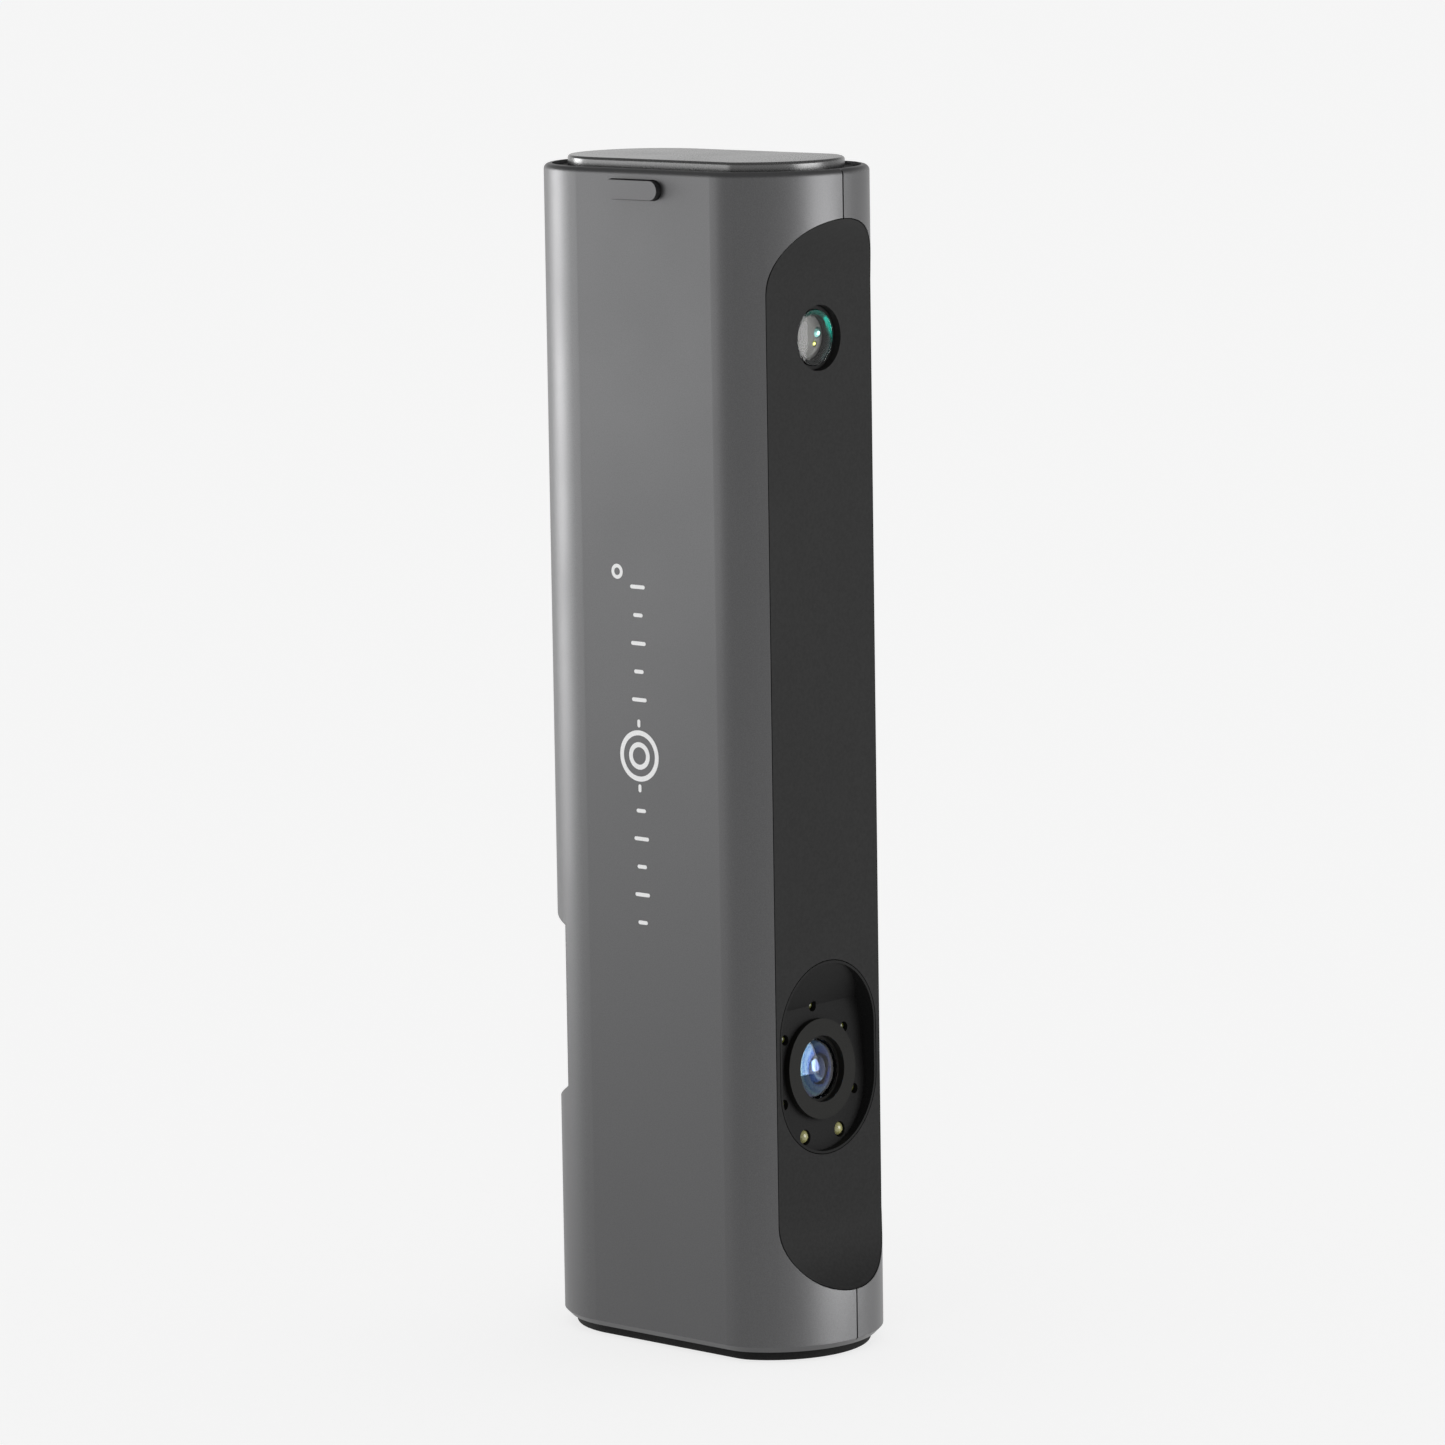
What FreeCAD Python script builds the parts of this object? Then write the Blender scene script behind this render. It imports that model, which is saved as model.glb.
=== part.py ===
"""A pocket handheld scanner: a long moulded body with a front window, projector, camera and keys.

Frame, in millimetres: +Z runs up the body, the front window faces -Y, the wide flat sides face -X
and +X, and the origin is the middle of the foot's underside.
"""
import FreeCAD, Part
import math
import os
import Sketcher
from types import SimpleNamespace

SIZES = {
    # Outside form
    "body_height": 190.0, "body_width": 33.0, "body_depth": 57.2,
    "nose_flatter": 1.1, "nose_corner": 8.4, "back_flatter": 1.5, "back_corner": 15.8,
    "wall": 2.0, "rim_fillet": 0.95, "base_chamfer": 1.0,
    "seam_width": 0.3, "seam_depth": 0.4, "gap": 0.15,
    # Ends of the body
    "foot_height": 1.6, "foot_inset": 2.0, "plate_rise": 1.3, "plate_inset": 3.86, "plate_round": 0.5,
    "groove": 0.46, "rim_wide": 1.3, "channel_deep": 0.9, "bead_thick": 0.3, "lip_thick": 2.0,
    "flange_thick": 1.8, "gasket_thick": 0.2, "base_lip": 6.5,
    # Front window
    "facet_depth": 5.3, "sweep_radius": 17.4, "window_low": 10.6, "window_drop": 9.0,
    "window_margin": 0.12, "tip_flatter": 2.9, "corner_tighter": 1.6,
    "window_thick": 1.4, "ledge_thick": 2.0, "ledge_width": 2.0, "glue_thick": 0.2,
    "cavity_corner": 2.0,
    # Projector
    "projector_drop": 27.9, "projector_hole": 10.4, "projector_glass": 8.8, "projector_sunk": 0.5,
    "beam_ring_sunk": 1.2, "glass_thick": 1.5, "housing_half": 9.0,
    # Camera
    "recess_half": 11.75, "recess_low": 31.9, "recess_high": 63.2, "recess_wall": 0.4,
    "floor_sunk": 1.2, "camera_tilt": 5.0, "ramp_foot": 55.5, "bezel_back": 4.7,
    "lens_height": 45.4, "ring_size": 16.0, "ring_rise": 1.1, "barrel_size": 12.0,
    "barrel_length": 10.3, "camera_glass": 9.7, "glass_sunk": 1.1,
    # Optical frame and boards
    "frame_front": -7.0, "frame_thick": 2.5, "frame_half": 12.0, "board_thick": 1.2,
    "frame_low": 20.0, "frame_drop": 14.0, "post_out": 12.0, "post_size": 4.4,
    "board_half": 12.5, "board_low": 70.0, "board_drop": 42.0, "standoff": 6.5, "cable_thick": 0.3,
    # Keys
    "panel_half": 7.0, "panel_low": 96.0, "panel_high": 152.0, "panel_face": 1.2, "panel_flange": 1.3,
    "key_travel": 0.6, "key_rise": 0.8, "scan_size": 9.0, "small_size": 6.0,
    "scan_height": 124.0, "key_pitch": 16.0, "light_height": 148.2,
    "side_key_low": -5.3, "side_key_high": 6.3, "side_key_drop": 3.0, "side_key_tall": 3.0,
    "side_key_rise": 1.1, "side_travel": 0.5,
    # Saddle in the back
    "saddle_sunk": 9.3, "saddle_low": 40.1, "saddle_high": 66.5, "saddle_flare_low": 28.0,
    "saddle_flare_high": 13.0, "saddle_wall": 2.0, "saddle_plate": 2.0, "saddle_under": 4.0,
    "saddle_half": 11.0, "insert_size": 8.5, "thread_bore": 5.1, "insert_length": 7.0,
    # Socket
    "socket_height": 21.0, "socket_tall": 8.94, "socket_wide": 3.2, "socket_deep": 7.3,
    "socket_sunk": 0.8, "socket_skin": 0.3,
    # Fasteners
    "screw_shaft": 2.0, "screw_head": 3.6, "screw_head_thick": 1.2,
}

doc = FreeCAD.newDocument("Scanner")
sheet = doc.addObject("Spreadsheet::Sheet", "Sizes")
for row, (alias, number) in enumerate(SIZES.items(), start=1):
    sheet.set(f"A{row}", alias)
    sheet.set(f"B{row}", str(number))
    sheet.setAlias(f"B{row}", alias)
doc.recompute()


class Size:
    """A number together with the spreadsheet formula that gives it."""

    def __init__(self, text, value):
        self.text = text
        self.value = value

    def __add__(self, other):
        other = sized(other)
        return Size(f"({self.text} + {other.text})", self.value + other.value)

    def __sub__(self, other):
        other = sized(other)
        return Size(f"({self.text} - {other.text})", self.value - other.value)

    def __mul__(self, other):
        other = sized(other)
        return Size(f"({self.text} * {other.text})", self.value * other.value)

    def __truediv__(self, other):
        other = sized(other)
        return Size(f"({self.text} / {other.text})", self.value / other.value)

    def __radd__(self, other):
        return sized(other) + self

    def __rsub__(self, other):
        return sized(other) - self

    def __rmul__(self, other):
        return sized(other) * self

    def __neg__(self):
        return Size(f"(0 - {self.text})", -self.value)


def sized(number):
    """A Size as it is, or a plain number as a Size."""
    return number if isinstance(number, Size) else Size(repr(float(number)), float(number))


def root(size):
    return Size(f"sqrt({size.text})", math.sqrt(size.value))


def sine(degrees):
    return Size(f"sin({degrees.text})", math.sin(math.radians(degrees.value)))


def cosine(degrees):
    return Size(f"cos({degrees.text})", math.cos(math.radians(degrees.value)))


def tangent(degrees):
    return Size(f"tan({degrees.text})", math.tan(math.radians(degrees.value)))


s = SimpleNamespace(**{alias: Size(f"Sizes.{alias}", number) for alias, number in SIZES.items()})
pieces = []


def bind(thing, prop, size):
    """Tie a property to the spreadsheet."""
    thing.setExpression(prop, sized(size).text)


def keep(thing, label):
    """Name a finished piece, which is then written out under that name."""
    thing.Label = label
    pieces.append(thing)
    return thing


# ---------------------------------------------------------------- outlines drawn in sketches

def hold(sketch, kind, geometry, point, size):
    """A driving constraint, tied to the spreadsheet: a place from the origin, or a radius."""
    size = sized(size)
    if kind == "Radius":
        constraint = Sketcher.Constraint(kind, geometry, size.value)
    else:
        constraint = Sketcher.Constraint(kind, -1, 1, geometry, point, size.value)
    bind(sketch, f"Constraints[{sketch.addConstraint(constraint)}]", size)


def arc(sketch, centre, radius, start, end):
    """An arc from one angle to another, in degrees, with its centre and radius held."""
    middle = FreeCAD.Vector(sized(centre[0]).value, sized(centre[1]).value, 0)
    circle = Part.Circle(middle, FreeCAD.Vector(0, 0, 1), sized(radius).value)
    return sketch.addGeometry(Part.ArcOfCircle(circle, math.radians(start), math.radians(end)))


def line(sketch, first, last):
    return sketch.addGeometry(Part.LineSegment(FreeCAD.Vector(*first, 0), FreeCAD.Vector(*last, 0)))


def end_of(sketch, item, point):
    place = sketch.getPoint(item, point)
    return (place.x, place.y)


def smooth(sketch, first, first_point, last, last_point):
    """Two ends meet, with no corner."""
    sketch.addConstraint(Sketcher.Constraint("Tangent", first, first_point, last, last_point))


def oval_end(sketch, half_width, apex, tip_radius, corner_radius, inset, side):
    """Three arcs that close one end of an oval: side is -1 at the low end and 1 at the high end."""
    centre_y = apex - side * tip_radius
    corner_x = half_width - corner_radius
    reach = tip_radius - corner_radius
    corner_y = centre_y + side * root(reach * reach - corner_x * corner_x)
    lean = math.degrees(math.atan2((corner_y.value - centre_y.value), corner_x.value))
    tip_turn = sorted((lean, 180 - lean if side > 0 else -180 - lean))
    tip = arc(sketch, (0, centre_y), tip_radius - inset, *tip_turn)
    right_turn = sorted((0, lean))
    right = arc(sketch, (corner_x, corner_y), corner_radius - inset, *right_turn)
    left_turn = (180 - lean, 180) if side > 0 else (180, 180 - lean)
    left = arc(sketch, (-corner_x, corner_y), corner_radius - inset, *left_turn)
    hold(sketch, "Radius", tip, None, tip_radius - inset)
    hold(sketch, "DistanceY", tip, 3, centre_y)
    sketch.addConstraint(Sketcher.Constraint("PointOnObject", tip, 3, -2))
    for corner, sign in ((right, 1), (left, -1)):
        hold(sketch, "Radius", corner, None, corner_radius - inset)
        hold(sketch, "DistanceX", corner, 3, sign * corner_x)
    if side > 0:
        smooth(sketch, right, 2, tip, 1)
        smooth(sketch, tip, 2, left, 1)
        return (right, 1), (left, 2)
    smooth(sketch, left, 2, tip, 1)
    smooth(sketch, tip, 2, right, 1)
    return (right, 2), (left, 1)


def oval(sketch, half_width, low_end, high_end, inset=0):
    """A long outline with an end of three arcs at each end, drawn inset from its own edge."""
    inset = sized(inset)
    low_right, low_left = oval_end(sketch, half_width, *low_end, inset, -1)
    high_right, high_left = oval_end(sketch, half_width, *high_end, inset, 1)
    for low, high in ((low_right, high_right), (low_left, high_left)):
        edge = line(sketch, end_of(sketch, *low), end_of(sketch, *high))
        smooth(sketch, edge, 1, *low)
        smooth(sketch, edge, 2, *high)


def body_section(sketch, inset=0):
    """The outline of the body seen from above: a two-arc nose in front and a nearly round back."""
    half_depth = s.body_depth / 2
    front = (-half_depth, nose_radius, s.nose_corner)
    back = (half_depth, back_radius, s.back_corner)
    oval(sketch, s.body_width / 2, front, back, inset)


def window_outline(sketch, inset=0):
    """The outline of the front window, seen from the front, inside the edge of the facet."""
    radii = (facet_half + s.tip_flatter, facet_half - s.corner_tighter)
    oval(sketch, facet_half, (s.window_low, *radii), (window_high, *radii), inset)


def slot(sketch, half_width, low, high, middle=0):
    """A pill whose round ends have their centres at low and high."""
    middle = sized(middle)
    half_width = sized(half_width)
    top = arc(sketch, (middle, high), half_width, 0, 180)
    bottom = arc(sketch, (middle, low), half_width, 180, 360)
    for end, height in ((top, high), (bottom, low)):
        hold(sketch, "DistanceX", end, 3, middle)
        hold(sketch, "DistanceY", end, 3, height)
    hold(sketch, "Radius", top, None, half_width)
    right = line(sketch, end_of(sketch, bottom, 2), end_of(sketch, top, 1))
    left = line(sketch, end_of(sketch, top, 2), end_of(sketch, bottom, 1))
    smooth(sketch, right, 1, bottom, 2)
    smooth(sketch, right, 2, top, 1)
    smooth(sketch, left, 1, top, 2)
    smooth(sketch, left, 2, bottom, 1)


def polygon(sketch, *corners):
    """Straight edges through corners that are each held in place."""
    places = [(sized(across).value, sized(up).value) for across, up in corners]
    count = len(corners)
    edges = [line(sketch, places[i], places[(i + 1) % count]) for i in range(count)]
    for i, (across, up) in enumerate(corners):
        sketch.addConstraint(Sketcher.Constraint("Coincident", edges[i - 1], 2, edges[i], 1))
        hold(sketch, "DistanceX", edges[i], 1, across)
        hold(sketch, "DistanceY", edges[i], 1, up)


# ---------------------------------------------------------------- solids

def pad(body, name, plane, low, high, outline, *sizes):
    """Pad an outline from low to high along the axis that the plane faces."""
    sketch = body.newObject("Sketcher::SketchObject", name + "_sketch")
    origin_plane = [face for face in body.Origin.OriginFeatures if face.Role == plane][0]
    sketch.AttachmentSupport = (origin_plane, "")
    sketch.MapMode = "FlatFace"
    start = -sized(high) if plane == "XZ_Plane" else sized(low)
    bind(sketch, "AttachmentOffset.Base.z", start)
    outline(sketch, *sizes)
    feature = body.newObject("PartDesign::Pad", name + "_pad")
    feature.Profile = sketch
    bind(feature, "Length", sized(high) - sized(low))
    doc.recompute()
    return feature


def prism(name, plane, low, high, outline, *sizes):
    """A body of one pad."""
    body = doc.addObject("PartDesign::Body", name)
    pad(body, name, plane, low, high, outline, *sizes)
    return body


def pocket(body, name, height, depth, outline, *sizes):
    """Sink an outline into a body from a flat height, downward."""
    sketch = body.newObject("Sketcher::SketchObject", name + "_sketch")
    floor_plane = [face for face in body.Origin.OriginFeatures if face.Role == "XY_Plane"][0]
    sketch.AttachmentSupport = (floor_plane, "")
    sketch.MapMode = "FlatFace"
    bind(sketch, "AttachmentOffset.Base.z", height)
    outline(sketch, *sizes)
    before = body.Shape.Volume
    feature = body.newObject("PartDesign::Pocket", name + "_pocket")
    feature.Profile = sketch
    bind(feature, "Length", depth)
    doc.recompute()
    if body.Shape.Volume >= before:
        raise RuntimeError(name + " cut nothing")
    return feature


def rounded(body, kind, size_prop, size, height):
    """Fillet or chamfer the edges of a body that lie flat at one height."""
    tip = body.Tip
    chosen = []
    for index, edge in enumerate(tip.Shape.Edges, start=1):
        box = edge.BoundBox
        if abs(box.ZMin - height.value) < 0.001 and abs(box.ZMax - height.value) < 0.001:
            chosen.append(f"Edge{index}")
    feature = body.newObject("PartDesign::" + kind, body.Name + kind)
    feature.Base = (tip, chosen)
    bind(feature, size_prop, size)
    doc.recompute()
    return feature


def block(name, across, along, up):
    """A box between two places on each axis."""
    box = doc.addObject("Part::Box", name)
    for prop, axis, (low, high) in zip(("Length", "Width", "Height"), "xyz", (across, along, up)):
        bind(box, prop, sized(high) - sized(low))
        bind(box, f"Placement.Base.{axis}", low)
    return box


TURNS = {"X": (0, 1, 0), "Y": (-1, 0, 0), "Z": (0, 0, 1)}


def rod(name, size, axis, start, length, place):
    """A cylinder of a given diameter along an axis, from a place on it."""
    cylinder = doc.addObject("Part::Cylinder", name)
    bind(cylinder, "Radius", sized(size) / 2)
    bind(cylinder, "Height", length)
    turn = 0 if axis == "Z" else 90
    cylinder.Placement = FreeCAD.Placement(
        FreeCAD.Vector(), FreeCAD.Rotation(FreeCAD.Vector(*TURNS[axis]), turn))
    others = [letter for letter in "XYZ" if letter != axis]
    bind(cylinder, f"Placement.Base.{axis.lower()}", start)
    for letter, at in zip(others, place):
        bind(cylinder, f"Placement.Base.{letter.lower()}", at)
    return cylinder


def cut(name, base, *tools):
    """A base with each tool taken away in turn."""
    for count, tool in enumerate(tools, start=1):
        step = doc.addObject("Part::Cut", f"{name}_{count}")
        step.Base = base
        step.Tool = tool
        base = step
    doc.recompute()
    return base


def fuse(name, *parts):
    joined = doc.addObject("Part::MultiFuse", name)
    joined.Shapes = list(parts)
    doc.recompute()
    return joined


def common(name, first, second):
    shared = doc.addObject("Part::Common", name)
    shared.Base = first
    shared.Tool = second
    doc.recompute()
    return shared


def group(label, parts):
    """Separate equal solids that make one piece of the list."""
    together = doc.addObject("Part::Compound", label + "_group")
    together.Links = list(parts)
    return keep(together, label)


def screw(name, axis, head_start, head_side, length, place):
    """A plain screw: head_side is 1 where the shaft runs up the axis from the head."""
    head_low = head_start if head_side > 0 else head_start - s.screw_head_thick
    shaft_low = head_start + s.screw_head_thick if head_side > 0 else head_start - length
    shaft_length = length - s.screw_head_thick
    head = rod(name + "_head", s.screw_head, axis, head_low, s.screw_head_thick, place)
    shaft = rod(name + "_shaft", s.screw_shaft, axis, shaft_low, shaft_length, place)
    return fuse(name, head, shaft)


# ---------------------------------------------------------------- places worked out from the sizes

half_width = s.body_width / 2
half_depth = s.body_depth / 2
nose_radius = half_width + s.nose_flatter
back_radius = half_width + s.back_flatter
rim_top = s.body_height - s.plate_rise
lip_top = rim_top - s.channel_deep
lip_under = lip_top - s.lip_thick
flange_top = lip_under - s.gasket_thick
flange_low = flange_top - s.flange_thick
base_inside = s.foot_height + s.lip_thick
facet_y = s.facet_depth - half_depth
facet_half = root(2 * nose_radius * s.facet_depth - s.facet_depth * s.facet_depth)
window_high = s.body_height - s.window_drop
facet_run = root(2 * s.sweep_radius * s.facet_depth - s.facet_depth * s.facet_depth)
flat_low = s.window_low + facet_run
flat_high = window_high - facet_run
sweep_y = facet_y - s.sweep_radius
glue_back = s.window_thick + s.glue_thick
ledge_y = facet_y + glue_back
cavity_y = ledge_y + s.ledge_thick
projector_height = s.body_height - s.projector_drop
side_key_top = s.body_height - s.side_key_drop
side_key_bottom = side_key_top - s.side_key_tall
frame_back = s.frame_front + s.frame_thick
frame_high = s.body_height - s.frame_drop
board_high = s.body_height - s.board_drop
board_y = frame_back + s.standoff
saddle_y = half_depth - s.saddle_sunk
panel_y = half_depth - back_radius + root(back_radius * back_radius - s.panel_half * s.panel_half)
PLATE_PLACES = [(across, up) for across in (-7.8, 7.8) for up in (-6.8, 6.8)]


# ---------------------------------------------------------------- moulded case

def cavity_outline(sketch):
    """The inside of the case: the body's outline behind a flat front."""
    half = half_width - s.wall
    corner = s.cavity_corner
    back_y = half_depth - back_radius + root(
        (back_radius - s.back_corner) * (back_radius - s.back_corner)
        - (half_width - s.back_corner) * (half_width - s.back_corner))
    right, left = oval_end(sketch, half_width, half_depth, back_radius, s.back_corner, s.wall, 1)
    front_right = arc(sketch, (half - corner, cavity_y + corner), corner, 270, 360)
    front_left = arc(sketch, (corner - half, cavity_y + corner), corner, 180, 270)
    for end, sign in ((front_right, 1), (front_left, -1)):
        hold(sketch, "Radius", end, None, corner)
        hold(sketch, "DistanceX", end, 3, sign * (half - corner))
        hold(sketch, "DistanceY", end, 3, cavity_y + corner)
    front = line(sketch, end_of(sketch, front_left, 2), end_of(sketch, front_right, 1))
    side_right = line(sketch, end_of(sketch, front_right, 2), (half.value, back_y.value))
    side_left = line(sketch, (-half.value, back_y.value), end_of(sketch, front_left, 1))
    smooth(sketch, front, 1, front_left, 2)
    smooth(sketch, front, 2, front_right, 1)
    smooth(sketch, side_right, 1, front_right, 2)
    smooth(sketch, side_right, 2, *right)
    smooth(sketch, side_left, 1, *left)
    smooth(sketch, side_left, 2, front_left, 1)


def sweep_slot(name, deeper=0):
    """The long scoop that cuts the nose back to the window's flat facet and runs out at its ends."""
    return prism(name, "YZ_Plane", -half_width, half_width, slot,
                 s.sweep_radius + deeper, flat_low, flat_high, sweep_y)


def saddle_shape(name, across, floor, below, above):
    """A block with flared ends, open to the back, for the saddle or for the walls around it."""
    far = half_depth + 2
    low_out = below - (far - floor) * tangent(s.saddle_flare_low)
    high_out = above + (far - floor) * tangent(s.saddle_flare_high)
    return prism(name, "YZ_Plane", -across, across, polygon,
                 (floor, below), (floor, above), (far, high_out), (far, low_out))


def side_key_outline(sketch, grow=0):
    """The side key's pill, lying along the depth, seen along the width."""
    radius = (side_key_top - side_key_bottom) / 2
    middle = (side_key_top + side_key_bottom) / 2
    low = s.side_key_low + radius
    high = s.side_key_high - radius
    front = arc(sketch, (low, middle), radius + grow, 90, 270)
    back = arc(sketch, (high, middle), radius + grow, 270, 450)
    for end, place in ((front, low), (back, high)):
        hold(sketch, "DistanceX", end, 3, place)
        hold(sketch, "DistanceY", end, 3, middle)
    hold(sketch, "Radius", front, None, radius + grow)
    under = line(sketch, end_of(sketch, front, 2), end_of(sketch, back, 1))
    over = line(sketch, end_of(sketch, back, 2), end_of(sketch, front, 1))
    smooth(sketch, under, 1, front, 2)
    smooth(sketch, under, 2, back, 1)
    smooth(sketch, over, 1, back, 2)
    smooth(sketch, over, 2, front, 1)


def posts(name, size, low, high):
    """Round posts inside the front wall that the optical frame is screwed to."""
    made = []
    for side in (-1, 1):
        for height in (s.frame_low + 5, frame_high - 28):
            place = (side * s.post_out, height)
            made.append(rod(f"{name}_{len(made)}", size, "Y", low, high - low, place))
    return made


def base_places():
    return [(side * (half_width - s.wall - 2.3), along) for side in (-1, 1) for along in (-8, 8)]


def make_case():
    """Both half shells, cut from one hollow body along the middle."""
    outer = prism("outer", "XY_Plane", s.foot_height, rim_top, body_section)
    rounded(outer, "Fillet", "Radius", s.rim_fillet, rim_top)
    rounded(outer, "Chamfer", "Size", s.base_chamfer, s.foot_height)
    pocket(outer, "channel", rim_top, s.channel_deep, body_section, s.rim_wide)

    cavity = prism("cavity", "XY_Plane", base_inside, lip_under, cavity_outline)
    saddle_solid = saddle_shape("saddle_solid", half_width, saddle_y - s.saddle_plate - s.saddle_under,
                                s.saddle_low - s.saddle_wall, s.saddle_high + s.saddle_wall)
    hollow = cut("hollow", cavity, saddle_solid, *posts("post", s.post_size, cavity_y, s.frame_front))

    top_hole = prism("top_hole", "XY_Plane", lip_under, lip_top, body_section,
                     s.plate_inset - s.groove)
    base_hole = prism("base_hole", "XY_Plane", 0, base_inside, body_section, s.base_lip)
    notch = saddle_shape("notch", half_width, saddle_y, s.saddle_low, s.saddle_high)
    plate_floor = saddle_y - s.saddle_plate
    plate_bed = block("plate_bed", (-s.saddle_half - s.gap, s.saddle_half + s.gap),
                      (plate_floor, saddle_y), plate_span(s.gap))
    insert_well = rod("insert_well", s.insert_size + 2 * s.wall + 2 * s.gap, "Y",
                      plate_floor - s.saddle_under, s.saddle_under, (0, saddle_middle()))
    facet = sweep_slot("facet")
    bed = common("window_bed", sweep_slot("window_bed_sweep", glue_back),
                 prism("window_bed_edge", "XZ_Plane", -half_depth - 1, ledge_y, window_outline,
                       s.window_margin - s.gap))
    inner_half = facet_half - s.window_margin - s.ledge_width
    opening = prism("opening", "XZ_Plane", ledge_y, cavity_y, slot, inner_half,
                    flat_low + inner_half, flat_high - inner_half)
    camera_hole = prism("camera_hole", "XZ_Plane", ledge_y, cavity_y, slot, s.recess_half,
                        s.recess_low + s.recess_half, s.recess_high - s.recess_half)
    key_hole = prism("key_hole", "YZ_Plane", -half_width,
                     s.wall + s.side_travel + 2 * s.gap - half_width, side_key_outline, s.gap)
    panel_hole = prism("panel_hole", "XZ_Plane", panel_under(), half_depth + 1, slot,
                       s.panel_half, s.panel_low + s.panel_half, s.panel_high - s.panel_half)
    socket_hole = prism("socket_hole", "XZ_Plane", half_depth - 2 * s.wall, half_depth, slot,
                        s.socket_wide / 2 + s.gap, *socket_ends())
    seam = cut("seam", block("seam_slab", (-s.seam_width / 2, s.seam_width / 2),
                             (-half_depth, half_depth), (0, s.body_height)),
               prism("seam_core", "XY_Plane", 0, s.body_height, body_section, s.seam_depth))
    tools = [hollow, top_hole, base_hole, notch, plate_bed, insert_well, facet, bed, opening,
             camera_hole, key_hole, panel_hole, socket_hole, seam]
    for count, (across, along) in enumerate(base_places()):
        tools.append(rod(f"base_sink_{count}", s.screw_head + 2 * s.gap, "Z", s.foot_height,
                         s.screw_head_thick, (across, along)))
        tools.append(rod(f"base_drill_{count}", s.screw_shaft, "Z", s.foot_height,
                         s.lip_thick, (across, along)))
    for count, (across, up) in enumerate(PLATE_PLACES):
        tools.append(rod(f"plate_drill_{count}", s.screw_shaft, "Y", plate_floor - s.saddle_under,
                         s.saddle_under, (across, saddle_middle() + up)))
    tools += posts("post_drill", s.screw_shaft, s.frame_front - 9, s.frame_front)
    case = cut("case", outer, *tools)
    far = half_depth + 2
    for label, low, high in (("left_shell", 0, half_width + 2), ("right_shell", -half_width - 2, 0)):
        other_side = block(label + "_half", (low, high), (-far, far), (-1, s.body_height + 1))
        keep(cut(label, case, other_side), label)


def make_ends():
    """The top cover with its gasket, and the bottom cover with its screws and rubber foot."""
    cover = doc.addObject("PartDesign::Body", "cover")
    pad(cover, "plate", "XY_Plane", flange_low, s.body_height, body_section, s.plate_inset)
    rounded(cover, "Fillet", "Radius", s.plate_round, s.body_height)
    pad(cover, "flange", "XY_Plane", flange_low, flange_top, body_section, s.wall + 2 * s.gap)
    key_room = block("key_room", (-half_width, s.plate_inset + 0.1 - half_width),
                     (s.side_key_low - 2, s.side_key_high + 2), (flange_low - 1, flange_top + 1))
    nose_room = block("nose_room", (-half_width, half_width), (-half_depth, cavity_y + s.gap),
                      (flange_low - 1, lip_under))
    keep(cut("top_cover_body", cover, key_room, nose_room), "top_cover")

    gasket = doc.addObject("PartDesign::Body", "gasket")
    pad(gasket, "washer", "XY_Plane", flange_top, lip_under, body_section, s.wall + 2 * s.gap)
    pad(gasket, "neck_ring", "XY_Plane", lip_under, lip_top, body_section, s.plate_inset - s.groove)
    pad(gasket, "bead", "XY_Plane", lip_top, lip_top + s.bead_thick, body_section, s.rim_wide + s.gap)
    core = prism("gasket_core", "XY_Plane", flange_top - 1, rim_top, body_section, s.plate_inset)
    key_slot = block("key_slot", (-half_width, s.plate_inset - half_width),
                     (s.side_key_low - 2, s.side_key_high + 2),
                     (flange_top - 1, lip_top - s.gap))
    keep(cut("top_gasket_body", gasket, core, key_slot, nose_room), "top_gasket")

    base = doc.addObject("PartDesign::Body", "base")
    pad(base, "base_neck", "XY_Plane", s.foot_height, base_inside, body_section, s.base_lip + s.gap)
    pad(base, "base_flange", "XY_Plane", base_inside, base_inside + s.flange_thick, body_section,
        s.wall + 2 * s.gap)
    boss_low = base_inside + s.flange_thick
    bosses = []
    holes = [prism("front_room", "XZ_Plane", -half_depth, cavity_y + s.gap, polygon,
                   (-half_width, 0), (half_width, 0), (half_width, boss_low + 1),
                   (-half_width, boss_low + 1))]
    for count, place in enumerate(base_places()):
        bosses.append(rod(f"base_boss_{count}", s.post_size - 0.4, "Z", boss_low, 4, place))
        holes.append(rod(f"boss_drill_{count}", s.screw_shaft, "Z", base_inside, 7, place))
    keep(cut("bottom_cover_body", fuse("base_with_bosses", base, *bosses), *holes), "bottom_cover")
    group("bottom_screws", [screw(f"base_screw_{count}", "Z", s.foot_height, 1, sized(7), place)
                            for count, place in enumerate(base_places())])
    foot = prism("foot", "XY_Plane", 0, s.foot_height, body_section, s.foot_inset)
    rounded(foot, "Fillet", "Radius", s.plate_round, sized(0))
    keep(foot, "bottom_foot")


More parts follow.
